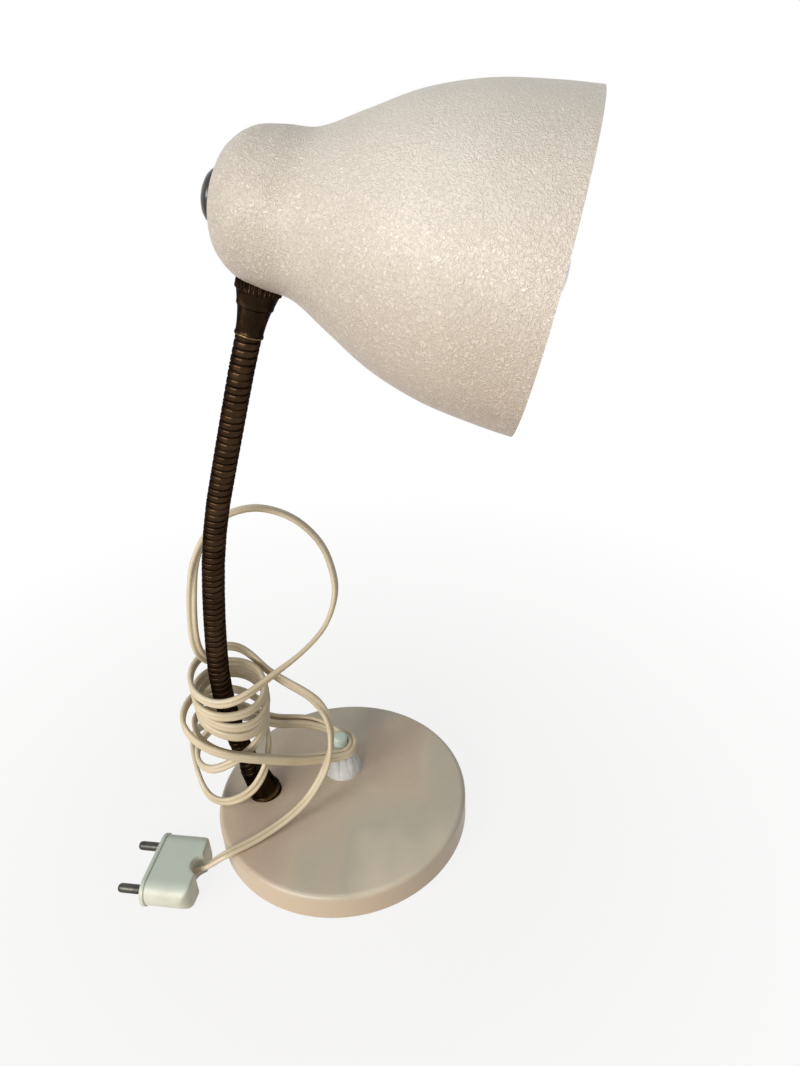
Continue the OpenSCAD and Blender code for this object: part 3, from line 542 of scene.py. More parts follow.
# Painted shade: the root between windings is nearly black. Wear and painted highlight: the crest is
# lighter.
groove_shade_colour = ramp(tree, strip_clouds, ((0.3, (0.006, 0.004, 0.002)), (0.7, (0.014, 0.009, 0.005))))
crest_wear_glint_colour = ramp(tree, strip_clouds, ((0.3, (0.022, 0.012, 0.006)), (0.7, (0.055, 0.031, 0.016))))
tree.links.new(mixed(tree, crest.outputs["Fac"], groove_shade_colour, crest_wear_glint_colour), shader.inputs["Base Color"])
clouded(tree, shader.inputs["Roughness"], noise(tree, 600, 4, 0.6), ((0.3, 0.20), (0.7, 0.34)))


def wound(name, windings, start, toward, low_cut, high_cut, ball):
    """A stretch of wound strip from one point towards another, cut square, with a ball above."""
    bpy.ops.object.select_all(action="DESELECT")
    bpy.ops.mesh.primitive_plane_add(size=1)
    piece = bpy.context.object
    piece.name = name
    bpy.ops.object.mode_set(mode="EDIT")
    bpy.ops.mesh.delete(type="VERT")
    bpy.ops.object.mode_set(mode="OBJECT")
    half = strip_pitch / 2
    section = (
        (strip_root, -half), (strip_root, -half + 0.2 * mm),
        (strip_r - 0.2 * mm, -half + 0.3 * mm), (strip_r - 0.07 * mm, -half + 0.5 * mm),
        (strip_r, -half + 0.95 * mm), (strip_r, half - 0.95 * mm),
        (strip_r - 0.07 * mm, half - 0.5 * mm), (strip_r - 0.2 * mm, half - 0.3 * mm),
        (strip_root, half - 0.2 * mm), (strip_root, half),
    )
    piece.data.from_pydata(
        [(radius, 0, height - half) for radius, height in section],
        [(k, k + 1) for k in range(len(section) - 1)], [])
    set_modifier(piece, "SCREW", axis="Z", angle=2 * math.pi, screw_offset=strip_pitch,
                 iterations=windings + 2, steps=40, render_steps=40, use_merge_vertices=True,
                 merge_threshold=0.00001, use_smooth_shade=True)
    bpy.ops.object.mode_set(mode="EDIT")
    bpy.ops.mesh.select_all(action="SELECT")
    bpy.ops.mesh.remove_doubles(threshold=0.00001)
    bpy.ops.mesh.bisect(plane_co=(0, 0, low_cut), plane_no=(0, 0, 1), use_fill=True, clear_inner=True)
    bpy.ops.mesh.select_all(action="SELECT")
    bpy.ops.mesh.bisect(plane_co=(0, 0, high_cut), plane_no=(0, 0, 1), use_fill=True, clear_outer=True)
    bpy.ops.mesh.select_all(action="SELECT")
    bpy.ops.mesh.normals_make_consistent(inside=False)
    bpy.ops.object.mode_set(mode="OBJECT")
    if ball:
        bpy.ops.object.select_all(action="DESELECT")
        bpy.ops.mesh.primitive_uv_sphere_add(
            segments=32, ring_count=16, radius=ball_r, location=(0, 0, ball))
        take(piece, bpy.context.object)
        bpy.ops.object.join()
    crests = piece.data.attributes.new("crest", "FLOAT", "POINT")
    for vertex in piece.data.vertices:
        out = math.hypot(vertex.co.x, vertex.co.y)
        on_ball = (ball and vertex.co.z > ball - ball_r
                   and strip_root - 0.5 * mm < out < strip_root + 0.12 * mm)
        raised = min(max((out - strip_root) / (0.4 * mm), 0), 1)
        crests.data[vertex.index].value = 1 if on_ball else raised
    aim = (Vector(toward) - Vector(start)).normalized()
    turn = Matrix.Rotation(neck_turn, 4, "Z") @ Matrix.Rotation(
        math.atan2(aim.x * math.cos(neck_turn) + aim.y * math.sin(neck_turn), aim.z), 4, "Y")
    put(piece, Matrix.Translation(start) @ turn, 40)
    dress(piece, bronzed)
    return piece


link_names = [
    "neck_bend_01", "neck_bend_02", "neck_turn_03", "neck_bend_04", "neck_bend_05", "neck_turn_06",
    "neck_bend_07", "neck_bend_08", "neck_turn_09", "neck_bend_10", "neck_bend_11", "shade_swivel",
]
link_places = [Vector(hinges[name]["pos_m"]) for name in link_names]
links = len(link_places) - 1
for number in range(links):
    start, end = link_places[number], link_places[number + 1]
    last = number == links - 1
    link = wound("neck_strip_%02d" % (number + 1), stretch_windings, start, end, strip_gap / 2,
                 stretch_l - (0 if last else strip_gap / 2), 0 if last else stretch_l)
    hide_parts("gooseneck_%02d" % (number + 1))
    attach(link, "neck_%02d" % (number + 1))

foot_leans = (-12, -7.75, -3.5, 0.75)
foot_run_l = 24.5 * mm
in_ferrule = 2
start = foot_place @ Vector((0, 0, foot_run_l))
hidden_l = in_ferrule * strip_pitch
runs = [wound("foot_run_0", in_ferrule, foot_place @ Vector((0, 0, foot_run_l - hidden_l)), start,
              0, hidden_l, 0)]
for number, lean in enumerate(foot_leans):
    upward = Matrix.Rotation(neck_turn, 4, "Z") @ Vector(
        (math.sin(math.radians(lean)), 0, math.cos(math.radians(lean))))
    end = start + upward * stretch_l
    top = number == len(foot_leans) - 1
    runs.append(wound("foot_run_%d" % (number + 1), stretch_windings, start, end, 0,
                      stretch_l - (strip_gap / 2 if top else 0), stretch_l if top else 0))
    start = end
take(*runs)
bpy.ops.object.join()
foot_run = bpy.context.object
foot_run.name = "neck_strip_foot"
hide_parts("gooseneck_foot")
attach(foot_run, "base")


# Top of the neck: the tube ends in a turned ferrule of the same dark brass, with a raised line round it.
# A nipple and a nut inside the shade clamp the head on.
neck_top_point = Vector(hinges["shade_swivel"]["pos_m"])
neck_top_axis = Vector(hinges["shade_swivel"]["axis"])
neck_top_lean = math.atan2(math.hypot(neck_top_axis.x, neck_top_axis.y), neck_top_axis.z)
neck_top = (
    Matrix.Translation(neck_top_point)
    @ Matrix.Rotation(neck_turn, 4, "Z")
    @ Matrix.Rotation(neck_top_lean, 4, "Y")
)
top_ferrule = turned(
    "top_ferrule_turned",
    [(r * mm, z * mm) for r, z in (
        (5.3, -2.5), (5.8, -2.5), (6.05, -2.25), (6.12, -1.8), (6.05, -1.35), (5.88, -1.0),
        (5.8, -0.7), (5.85, 0.5), (6.0, 2.5), (6.3, 5.0), (6.65, 7.3), (6.95, 8.9), (7.1, 9.3),
        (7.1, 9.6), (6.9, 9.8), (5.0, 9.8))],
    steps=72,
)
# Its raised line is painted bare brass, as wear and painted highlight.
paint_worn_glint(top_ferrule, ((-1.9 * mm, -1.7 * mm),))
put(top_ferrule, neck_top)
dress(top_ferrule, turned_brass)
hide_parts("top_ferrule")
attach(top_ferrule, "neck_11")
for node_name, finish in (
    ("head_nipple", turned_brass), ("head_nut", steel_finish), ("saddle_washer", steel_finish),
):
    dress(nodes[node_name], finish)


# The knurled saddle under the shade, turned from brass, with its top hollowed to the shade's round side.
# Its skirt is knurled for the fingers.
smoothed("knurled_saddle", "saddle_knurled", turned_brass, "head", angle=30)


# The shade: a spun bell of sheet steel, 126 mm across its mouth and 135 mm long.
# Its beige lacquer is a crinkle finish: fine wrinkles all over, with pale flecks painted on the ridges as
# painted highlights.
# Its lower side is painted darker and warmer, and its back darker still, as painted shade.
def spun_line(marks, steps):
    """A smooth line through marks, as a spun sheet takes it."""
    line = []
    last = len(marks) - 1
    for number in range(last):
        before, a, b, after = (
            Vector(marks[max(number - 1, 0)]), Vector(marks[number]),
            Vector(marks[number + 1]), Vector(marks[min(number + 2, last)]))
        for step in range(steps):
            t = step / steps
            point = 0.5 * (2 * a + (b - before) * t + (2 * before - 5 * a + 4 * b - after) * t ** 2
                           + (3 * a - before - 3 * b + after) * t ** 3)
            line.append(tuple(point))
    line.append(tuple(marks[last]))
    return line


lacquer, tree, shader = new_finish("beige_crinkle_lacquer", (0.60, 0.50, 0.40), 0.42)
wrinkle_density = 760
cell_density = 640
crinkle_place = tree.nodes.new("ShaderNodeTexCoord")
crinkle = tree.nodes.new("ShaderNodeTexNoise")
crinkle.inputs["Scale"].default_value = wrinkle_density
crinkle.inputs["Detail"].default_value = 2.5
crinkle.inputs["Roughness"].default_value = 0.6
crinkle.inputs["Distortion"].default_value = 1.6
tree.links.new(crinkle_place.outputs["Object"], crinkle.inputs["Vector"])
ridges = ramp(tree, crinkle.outputs["Fac"], ((0.38, 0.0), (0.50, 0.35), (0.62, 1.0)))
wrinkles = tree.nodes.new("ShaderNodeTexVoronoi")
wrinkles.feature = "DISTANCE_TO_EDGE"
wrinkles.inputs["Scale"].default_value = cell_density
tree.links.new(crinkle_place.outputs["Object"], wrinkles.inputs["Vector"])
cells = ramp(tree, wrinkles.outputs["Distance"], ((0.0, 1.0), (0.12, 0.4), (0.5, 0.0)))
clouds = noise(tree, 20, 3, 0.5)
shaded_low_tone = ramp(tree, clouds, ((0.3, (0.450, 0.350, 0.272)), (0.7, (0.510, 0.408, 0.322))))
lit_high_tone = ramp(tree, clouds, ((0.3, (0.625, 0.560, 0.475)), (0.7, (0.690, 0.635, 0.555))))
back_shade_tint = (0.74, 0.71, 0.68)
ridge_highlight_colour = (0.78, 0.70, 0.61)
lit_from, lit_to = 0.262, 0.345
unshaded_at, shaded_back_at = 0.045, -0.02
# Painted light and shade: darker and warmer below, paler and greyer above, and darker towards the back.
tone = mixed(tree, along(tree, "Z", lit_from, lit_to), shaded_low_tone, lit_high_tone)
tone = mixed(tree, along(tree, "X", unshaded_at, shaded_back_at), tone, back_shade_tint, "MULTIPLY")
# Painted highlights: pale flecks on the wrinkle ridges.
flecked = mixed(tree, ramp(tree, ridges, ((0.2, 0.0), (1.0, 0.5))), tone, ridge_highlight_colour)
tree.links.new(flecked, shader.inputs["Base Color"])
clouded(tree, shader.inputs["Roughness"], ridges, ((0.2, 0.5), (0.9, 0.33)))
coarse = bumps(tree, shader, cells, 0.00012, 0.5)
bumps(tree, shader, ridges, 0.00022, 0.9, under=coarse)
shader.inputs["Specular IOR Level"].default_value = 0.8
shader.inputs["Coat Weight"].default_value = 0.2
shader.inputs["Coat Roughness"].default_value = 0.35

knuckle = 48.2 * mm
back_from_axis = 26.4 * mm
shade_dip = 13.4
shade_down = math.radians(90 + shade_dip)
shade_turn = math.radians(-17.7)
head_turn = Matrix.Rotation(shade_turn, 4, "Z") @ Matrix.Rotation(shade_down, 4, "Y")
head_place = (
    Matrix.Translation(neck_top_point + neck_top_axis * knuckle)
    @ head_turn
    @ Matrix.Translation((0, 0, -back_from_axis))
)
shade_marks = [(r * mm, s * mm) for r, s in (
    (7, 2.4), (15, 4.9), (21.6, 8.6), (27.4, 16.2), (29.8, 27), (31.6, 40), (40.4, 56), (50.8, 75),
    (58, 96.6), (61.6, 118.6), (63.2, 134.6))]
shade = turned("shade_bell", spun_line(shade_marks, 6), steps=144, ends=False)
inner_white, tree, shader = new_finish("white_reflector_enamel", (0.80, 0.79, 0.76), 0.35)
clouded(tree, shader.inputs["Base Color"], noise(tree, 40, 4, 0.6),
        ((0.3, (0.74, 0.72, 0.67)), (0.7, (0.84, 0.83, 0.80))))
bumps(tree, shader, noise(tree, 500, 3, 0.6), 0.00006, 0.5)
shade_sheet = 0.8 * mm
dress(shade, lacquer)
shade.data.materials.append(inner_white)
set_modifier(shade, "SOLIDIFY", thickness=shade_sheet, offset=-1, use_even_offset=True, material_offset=1)
put(shade, head_place, 40)
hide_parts("shade")
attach(shade, "head")


# The cap on the shade's back is black phenolic, domed. Inside the shade is the lampholder of the same
# stuff, with a porcelain insert, a brass shell and contact, and a ring that screws up over it.
rear_cap = turned(
    "back_cap",
    [(r * mm, s * mm) for r, s in (
        (0.6, -1.6), (3.5, -1.5), (6.2, -0.9), (8.3, 0.1), (9.6, 1.2), (10.3, 2.3), (10.5, 3.2),
        (10.4, 3.8), (9.9, 3.6), (7.0, 2.35), (1.0, 2.35))],
    steps=64,
)
put(rear_cap, head_place)
dress(rear_cap, black_finish)
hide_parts("rear_cap")
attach(rear_cap, "head")
smoothed("holder_body", "holder_body_moulded", black_finish, "head")
smoothed("holder_skirt", "holder_ring_moulded", black_finish, "head")
porcelain, tree, shader = new_finish("glazed_porcelain", (0.8, 0.78, 0.73), 0.15)
clouded(tree, shader.inputs["Base Color"], noise(tree, 300, 3, 0.6),
        ((0.3, (0.72, 0.70, 0.64)), (0.7, (0.84, 0.82, 0.78))))
contact_brass, tree, shader = new_finish("plain_brass", (0.55, 0.38, 0.15), 0.3, 1.0)
clouded(tree, shader.inputs["Base Color"], noise(tree, 260, 4, 0.6),
        ((0.3, (0.42, 0.28, 0.10)), (0.7, (0.66, 0.47, 0.20))))
dress(nodes["holder_insert"], porcelain)
dress(nodes["holder_contact"], contact_brass)
smoothed("holder_screw_shell", "holder_shell_rolled", contact_brass, "head")


# The bulb: clear glass on an aluminium screw cap, with its tip just out of the shade's mouth.
# A glass stem inside carries two wires and the filament.
cap_metal, tree, shader = new_finish("bulb_cap_aluminium", (0.62, 0.60, 0.56), 0.35, 1.0)
clouded(tree, shader.inputs["Roughness"], noise(tree, 380, 4, 0.6), ((0.3, 0.28), (0.7, 0.5)))
smoothed("bulb_cap", "bulb_cap_rolled", cap_metal, "head")
dress(nodes["bulb_tip_contact"], cap_metal)
# The clear glass is given a blue-grey tint that darkens it, as painted shade.
glass, tree, shader = new_finish("clear_bulb_glass", (0.56, 0.62, 0.67), 0.03)
shader.inputs["Transmission Weight"].default_value = 1.0
shader.inputs["IOR"].default_value = 1.4
clouded(tree, shader.inputs["Roughness"], noise(tree, 35, 3, 0.6), ((0.4, 0.02), (0.75, 0.09)))
glass_wall = 0.5 * mm
bulb_marks = [(r * mm, s * mm) for r, s in (
    (12.0, 43.8), (12.5, 45), (12.5, 58), (12.8, 61), (14.6, 68), (18.6, 78), (23.4, 88), (27.6, 97),
    (29.6, 105), (30.0, 110.6), (29.4, 117), (27.2, 123.2), (23.2, 129.6), (17.6, 134.9), (11.2, 138.4),
    (5.2, 140.15), (0.3, 140.6))]
bulb = turned("bulb_glass_blown", spun_line(bulb_marks, 3), steps=96, ends=False)
set_modifier(bulb, "SOLIDIFY", thickness=glass_wall, offset=-1, use_even_offset=True)
put(bulb, head_place, 60)
dress(bulb, glass)
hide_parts("bulb_glass")
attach(bulb, "head")
smoothed("bulb_stem", "bulb_stem_drawn", glass, "head")
wire, tree, shader = new_finish("filament_wire", (0.30, 0.29, 0.28), 0.4, 1.0)
clouded(tree, shader.inputs["Roughness"], noise(tree, 800, 3, 0.6), ((0.3, 0.3), (0.7, 0.55)))
smoothed("bulb_filament", "bulb_filament_wire", wire, "head")


# The lead: a limp twin flex of cream plastic, two round cores side by side, 5.3 mm wide and 2.7 mm thick.
# From the bush it makes two low loops round the neck and two long turns round neck and button. It winds
# on round the neck, stands up in one big loop, and comes down in front of the switch to the plug.
upright = (0, 0, 1)
across = (1, 0.1, 0)
away = (0.1, 1, 0.05)


def button_turn(radius, height):
    """Half a turn round the button, from the front over the right to the back."""
    climb = 0.000012
    points = []
    for angle in range(-90, 70, 30):
        points.append((switch_x + radius * math.cos(math.radians(angle)),
                       switch_y + radius * math.sin(math.radians(angle)),
                       height + climb * (angle + 90)))
    return points


# Each stretch gives the way along the flex's broad side, and then its points.
lead_exit = (-0.046, 0.059, 0.0082)
lead_stretches = (
    (upright, [lead_exit, (-0.051, 0.065, 0.0086), (-0.061, 0.069, 0.013), (-0.073, 0.064, 0.022),
        (-0.081, 0.052, 0.032), (-0.083, 0.038, 0.038), (-0.0825, 0.025, 0.0375)]),
    (upright, [(-0.0795, 0.013, 0.0315), (-0.0765, 0.0065, 0.0255), (-0.072, 0.0025, 0.0215),
        (-0.065, 0.0005, 0.0202), (-0.0575, -0.0025, 0.0245), (-0.0505, -0.0045, 0.0305),
        (-0.0445, -0.004, 0.0375), (-0.04, -0.0015, 0.0455), (-0.0375, 0.004, 0.0525),
        (-0.037, 0.013, 0.057), (-0.041, 0.022, 0.059), (-0.051, 0.027, 0.057),
        (-0.064, 0.0295, 0.0535), (-0.074, 0.025, 0.049)]),
    (upright, [(-0.0785, 0.0175, 0.0455), (-0.0765, 0.009, 0.043), (-0.071, 0.003, 0.0445),
        (-0.0655, -0.001, 0.048), (-0.059, -0.003, 0.052), (-0.0515, -0.0025, 0.0555),
        (-0.043, 0.0005, 0.061), (-0.0375, 0.007, 0.0655), (-0.036, 0.015, 0.068),
        (-0.041, 0.025, 0.071), (-0.053, 0.032, 0.074), (-0.067, 0.03, 0.078)]),
    (upright, [(-0.076, 0.02, 0.0815), (-0.079, 0.008, 0.0815), (-0.078, 0, 0.0795),
        (-0.073, -0.006, 0.075), (-0.066, -0.0095, 0.0705), (-0.057, -0.0105, 0.0655),
        (-0.048, -0.009, 0.06), (-0.037, -0.0055, 0.053), (-0.027, -0.0015, 0.046),
        (-0.0165, 0.0025, 0.04), (-0.0065, 0.0065, 0.0355)]),
    (upright, button_turn(0.0084, 0.034)),
    (upright, [(-0.003, 0.026, 0.0385), (-0.0175, 0.029, 0.044), (-0.032, 0.03, 0.0445),
        (-0.043, 0.031, 0.05), (-0.056, 0.03, 0.06), (-0.068, 0.0255, 0.068)]),
    (upright, [(-0.0745, 0.015, 0.0725), (-0.074, 0.005, 0.072), (-0.069, -0.0035, 0.0695),
        (-0.06, -0.0075, 0.065), (-0.049, -0.006, 0.0585), (-0.037, -0.0025, 0.0515),
        (-0.026, 0.0015, 0.045), (-0.0155, 0.0055, 0.0395), (-0.006, 0.0095, 0.036)]),
    (upright, button_turn(0.0057, 0.0344)),
    (upright, [(-0.004, 0.027, 0.042), (-0.0135, 0.0315, 0.044), (-0.024, 0.0335, 0.045),
        (-0.036, 0.0355, 0.046), (-0.047, 0.034, 0.056), (-0.059, 0.03, 0.0685),
        (-0.0685, 0.0235, 0.077)]),
    (upright, [(-0.0715, 0.0125, 0.081), (-0.069, 0.002, 0.08), (-0.06, -0.0055, 0.0765),
        (-0.049, -0.006, 0.0725), (-0.04, 0, 0.071), (-0.035, 0.01, 0.075), (-0.0365, 0.021, 0.081),
        (-0.046, 0.029, 0.086), (-0.058, 0.0285, 0.089), (-0.0675, 0.021, 0.0895),
        (-0.071, 0.011, 0.0885), (-0.069, 0.001, 0.087), (-0.0605, -0.007, 0.0845)]),
    (upright, [(-0.049, -0.009, 0.0815), (-0.0385, -0.003, 0.08), (-0.0335, 0.008, 0.0835),
        (-0.036, 0.0195, 0.0895), (-0.045, 0.0265, 0.093), (-0.056, 0.0265, 0.095)]),
    (upright, [(-0.066, 0.0215, 0.0955), (-0.071, 0.011, 0.0955), (-0.0695, 0, 0.0935),
        (-0.061, -0.008, 0.0915), (-0.050, -0.0085, 0.0895), (-0.0395, -0.003, 0.0885),
        (-0.034, 0.0075, 0.091), (-0.0365, 0.018, 0.0955), (-0.0450, 0.0235, 0.0985),
        (-0.0530, 0.0245, 0.0995)]),
    ((0.4, 0.2, 0.8), [(-0.0595, 0.0225, 0.1025), (-0.0635, 0.0195, 0.1075)]),
    (across, [(-0.0655, 0.0175, 0.1135), (-0.0663, 0.0170, 0.1210), (-0.066, 0.0185, 0.1305),
        (-0.065, 0.022, 0.14), (-0.0635, 0.026, 0.1495)]),
    ((0.6, 0.8, 0), [(-0.0615, 0.03, 0.158), (-0.0575, 0.035, 0.166), (-0.0515, 0.039, 0.1735)]),
    (away, [(-0.0445, 0.042, 0.178), (-0.0365, 0.044, 0.18), (-0.0275, 0.045, 0.18),
        (-0.019, 0.045, 0.1775), (-0.0095, 0.044, 0.1725), (-0.0015, 0.042, 0.165),
        (0.005, 0.039, 0.1555)]),
    ((0.35, 0.9, 0.1), [(0.008, 0.035, 0.145), (0.009, 0.03, 0.135), (0.006, 0.0245, 0.1255)]),
    ((0.1, 0.85, -0.5), [(0.0005, 0.0185, 0.118), (-0.0075, 0.012, 0.1135), (-0.0165, 0.006, 0.11)]),
    ((0.0, 0.5, -0.8), [(-0.026, 0.001, 0.107), (-0.034, -0.004, 0.105)]),
    ((0, 0, -1), [(-0.042, -0.009, 0.103), (-0.0495, -0.0105, 0.101), (-0.057, -0.0095, 0.1),
        (-0.064, -0.006, 0.101), (-0.0695, 0.001, 0.102), (-0.0715, 0.01, 0.1035),
        (-0.07, 0.019, 0.1045), (-0.065, 0.026, 0.1055), (-0.058, 0.03, 0.1055),
        (-0.051, 0.031, 0.105), (-0.045, 0.03, 0.1025), (-0.0395, 0.027, 0.0985),
        (-0.034, 0.0225, 0.0935), (-0.028, 0.0185, 0.0895)]),
    ((0, -0.3, -0.9), [(-0.019, 0.015, 0.0835), (-0.0115, 0.0125, 0.078), (-0.006, 0.0105, 0.0705)]),
    ((-0.4, -0.9, -0.1), [(-0.0032, 0.008, 0.062), (-0.0028, 0.005, 0.054),
        (-0.0045, 0.0005, 0.0465)]),
    ((0.7, -0.6, 0.2), [(-0.008, -0.005, 0.0405), (-0.0135, -0.0105, 0.0345),
        (-0.0215, -0.0155, 0.0275)]),
    ((0.35, -0.9, 0.05), [(-0.033, -0.02, 0.0215), (-0.045, -0.0255, 0.0192), (-0.055, -0.03, 0.0188),
        (-0.0635, -0.033, 0.0184)]),
    ((0.1, -0.9, 0.4), [(-0.0695, -0.0335, 0.0155), (-0.075, -0.0333, 0.0115)]),
    ((0.0, -0.3, 0.95), [(-0.08, -0.033, 0.009), (-0.0845, -0.033, 0.0085)]),
)
lead_keys = [point for side, points in lead_stretches for point in points]
lead_sides = [Vector(side).normalized() for side, points in lead_stretches for point in points]
key_steps = 5
lead_line = [Vector(point) for point in spun_line(lead_keys, key_steps)]
lead_broad = [
    lead_sides[number].lerp(lead_sides[number + 1], step / key_steps)
    for number in range(len(lead_sides) - 1) for step in range(key_steps)
] + [lead_sides[-1]]


def eased(line, times):
    """The line with its corners eased, its two ends kept."""
    for time in range(times):
        line = [line[0]] + [
            line[k] * 0.5 + (line[k - 1] + line[k + 1]) * 0.25 for k in range(1, len(line) - 1)
        ] + [line[-1]]
    return line


lead_line = eased(lead_line, 6)
lead_broad = eased(lead_broad, 30)
core_r = 1.35 * mm
core_from_middle = 1.3 * mm
core_sides = 9
core_step = 35
section = []
for side in (1, -1):
    for step in range(core_sides):
        angle = math.radians(core_step * (step - (core_sides - 1) / 2))
        section.append((
            side * (core_from_middle + core_r * math.cos(angle)), side * core_r * math.sin(angle)))
ring_size = len(section)
lead_points = []
lead_faces = []
lead_runs = [0.0]
for k, point in enumerate(lead_line):
    ahead = (lead_line[min(k + 1, len(lead_line) - 1)] - lead_line[max(k - 1, 0)]).normalized()
    broad = (lead_broad[k] - ahead * lead_broad[k].dot(ahead)).normalized()
    thin = ahead.cross(broad)
    if k:
        lead_runs.append(lead_runs[-1] + (point - lead_line[k - 1]).length)
        for j in range(ring_size):
            low, high = (k - 1) * ring_size, k * ring_size
            lead_faces.append((low + j, low + (j + 1) % ring_size, high + (j + 1) % ring_size, high + j))
    lead_points.extend(point + broad * x + thin * y for x, y in section)
lead_faces.append(tuple(reversed(range(ring_size))))
lead_faces.append(tuple(len(lead_points) - ring_size + j for j in range(ring_size)))
lead_mesh = bpy.data.meshes.new("lead_flex")
lead_mesh.from_pydata(lead_points, [], lead_faces)
lead = bpy.data.objects.new("lead_flex", lead_mesh)
bpy.context.scene.collection.objects.link(lead)
map_per_metre = 10
lead_map = lead_mesh.uv_layers.new(name="along")
for face in lead_mesh.polygons:
    for loop in face.loop_indices:
        vertex = lead_mesh.loops[loop].vertex_index
        lead_map.data[loop].uv = (
            lead_runs[vertex // ring_size] * map_per_metre, (vertex % ring_size) / ring_size)
put(lead, Matrix.Identity(4), 50)

flex, tree, shader = new_finish("cream_flex_plastic", (0.60, 0.50, 0.345), 0.4)
flex_map = tree.nodes.new("ShaderNodeUVMap")
flex_map.uv_map = "along"
flex_stain = tree.nodes.new("ShaderNodeTexNoise")
flex_stain.inputs["Scale"].default_value = 3.5
flex_stain.inputs["Detail"].default_value = 4
tree.links.new(flex_map.outputs["UV"], flex_stain.inputs["Vector"])
flex_dirt = noise(tree, 130, 3, 0.5)
flex_tone = ramp(tree, flex_stain.outputs["Fac"],
                 ((0.3, (0.52, 0.42, 0.27)), (0.5, (0.60, 0.50, 0.345)), (0.72, (0.67, 0.585, 0.435))))
dirt_colour = (0.36, 0.28, 0.17)
dirt_share = ramp(tree, flex_dirt, ((0.5, 0.0), (0.85, 0.22)))
tree.links.new(mixed(tree, dirt_share, flex_tone, dirt_colour), shader.inputs["Base Color"])
clouded(tree, shader.inputs["Roughness"], flex_dirt, ((0.3, 0.34), (0.7, 0.52)))
bumps(tree, shader, flex_dirt, 0.00003, 0.3)
dress(lead, flex)
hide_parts("cord_start", "cord_neck_coil", "cord_band_front", "cord_band_back", "cord_switch_ring",
            "cord_loop", "cord_tail")
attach(lead, "base")


# The plug lies on the table on the long edge of its flange: a moulded block of ivory plastic with rounded
# back corners and a notch for the lead, and two plain round pins.
plug_place = (
    Matrix.Translation((-0.104, -0.027, 0.0085))
    @ Matrix.Rotation(math.radians(163), 4, "Z")
)
plug_flange_l = 41.5 * mm
plug_flange_w = 17 * mm
plug_flange_t = 2.4 * mm
plug_half = plug_flange_l / 2 - 0.8 * mm
plug_t = 15.6 * mm
plug_depth = 26 * mm
lobe_r = 6.5 * mm
notch_r = 6.2 * mm
notch_depth = 4.2 * mm


def block(name, size, middle):
    """A plain block of that size at that place, before its edges are rounded."""
    bpy.ops.object.select_all(action="DESELECT")
    bpy.ops.mesh.primitive_cube_add(size=1, location=(0, 0, 0))
    piece = bpy.context.object
    piece.name = name
    piece.matrix_world = Matrix.Translation(middle) @ Matrix.Diagonal((*size, 1))
    bpy.ops.object.transform_apply(location=True, rotation=True, scale=True)
    return piece


def round_edges(piece, chosen, radius, steps):
    """Rounds the edges that are chosen by the places of their two ends."""
    bpy.ops.object.mode_set(mode="EDIT")
    bpy.ops.mesh.select_mode(type="EDGE")
    bpy.ops.mesh.select_all(action="DESELECT")
    bpy.ops.object.mode_set(mode="OBJECT")
    for edge in piece.data.edges:
        edge.select = chosen(*[piece.data.vertices[k].co for k in edge.vertices])
    bpy.ops.object.mode_set(mode="EDIT")
    bpy.ops.mesh.bevel(offset=radius, segments=steps, affect="EDGES")
    bpy.ops.mesh.select_mode(type="VERT")
    bpy.ops.object.mode_set(mode="OBJECT")


flange = block("plug_flange", (plug_flange_t, plug_flange_l, plug_flange_w), (-plug_flange_t / 2, 0, 0))
round_edges(flange, lambda a, b: abs(a.x - b.x) > plug_flange_t / 2, plug_flange_w / 2 - 0.05 * mm, 12)
set_modifier(flange, "BEVEL", width=0.6 * mm, segments=3, limit_method="ANGLE",
             angle_limit=math.radians(50))
plug_run_in = 6 * mm
plug_size = (plug_depth + plug_run_in, 2 * plug_half, plug_t)
plug_middle = (-(plug_depth - plug_run_in) / 2, 0, 0)
plug = block("plug_moulded", plug_size, plug_middle)
round_edges(plug, lambda a, b: abs(a.x - b.x) > plug_depth / 2, plug_t / 2 - 0.3 * mm, 10)
plan = block("plug_plan", (plug_size[0], plug_size[1], 2 * plug_t), plug_middle)
round_edges(plan, lambda a, b: max(a.x, b.x) < -plug_depth / 2 and abs(a.z - b.z) > plug_t / 2, lobe_r, 10)
bpy.ops.object.select_all(action="DESELECT")
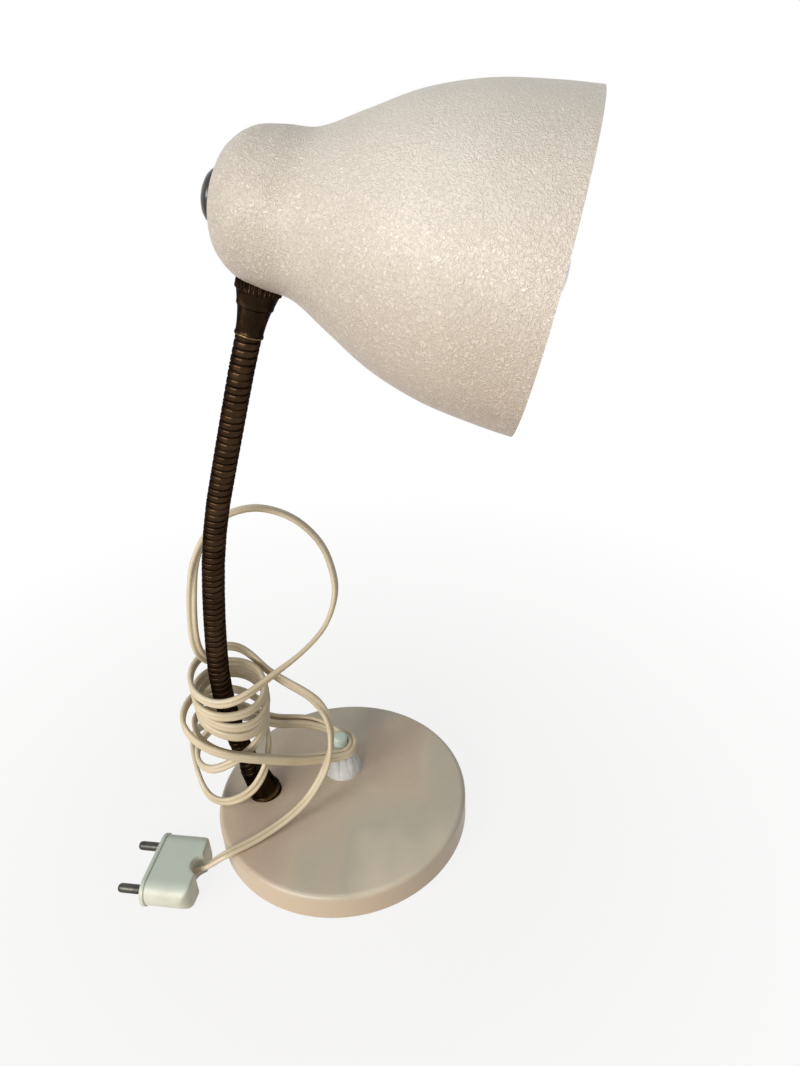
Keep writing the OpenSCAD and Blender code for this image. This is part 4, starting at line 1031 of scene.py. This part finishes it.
bpy.ops.mesh.primitive_cylinder_add(vertices=64, radius=notch_r, depth=3 * plug_t,
                                    location=(-plug_depth - notch_r + notch_depth, 0, 0))
notch = bpy.context.object
set_modifier(plan, "BOOLEAN", object=notch, operation="DIFFERENCE", solver="EXACT")
set_modifier(plug, "BOOLEAN", object=plan, operation="INTERSECT", solver="EXACT")
bpy.data.objects.remove(notch)
bpy.data.objects.remove(plan)
plug_grain = 0.6 * mm
set_modifier(plug, "REMESH", mode="VOXEL", voxel_size=plug_grain)
set_modifier(plug, "SMOOTH", factor=0.5, iterations=14)
bpy.ops.object.mode_set(mode="EDIT")
bpy.ops.mesh.select_all(action="SELECT")
bpy.ops.mesh.bisect(plane_co=(-plug_flange_t / 2, 0, 0), plane_no=(1, 0, 0),
                    use_fill=True, clear_outer=True)
bpy.ops.object.mode_set(mode="OBJECT")
take(plug, flange)
bpy.ops.object.join()
put(plug, plug_place, 30)
dress(plug, ivory_finish)
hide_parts("plug_body")
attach(plug, "base")

pin_finish, tree, shader = new_finish("dulled_pin_steel", (0.16, 0.155, 0.145), 0.38, 1.0)
pin_dull = noise(tree, 190, 3, 0.5)
clouded(tree, shader.inputs["Base Color"], pin_dull,
        ((0.3, (0.050, 0.047, 0.040)), (0.7, (0.095, 0.090, 0.078))))
clouded(tree, shader.inputs["Roughness"], pin_dull, ((0.3, 0.45), (0.7, 0.32)))
pin_r = 2.4
pin_from_middle = 13.2 * mm
pins = []
for side in (-1, 1):
    pin = turned("plug_pin", [(r * mm, x * mm) for r, x in (
        (pin_r, -1.5), (pin_r, 11.8), (2.36, 12.8), (2.15, 13.7), (1.6, 14.3), (0.8, 14.5), (0.2, 14.5))],
        steps=40)
    pin.matrix_world = (
        Matrix.Translation((0, side * pin_from_middle, 0)) @ Matrix.Rotation(math.pi / 2, 4, "Y"))
    pins.append(pin)
take(*pins)
bpy.ops.object.transform_apply(location=True, rotation=True, scale=True)
bpy.ops.object.join()
both_pins = bpy.context.object
both_pins.name = "plug_pins_pair"
put(both_pins, plug_place)
dress(both_pins, pin_finish)
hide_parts("plug_pins")
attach(both_pins, "base")
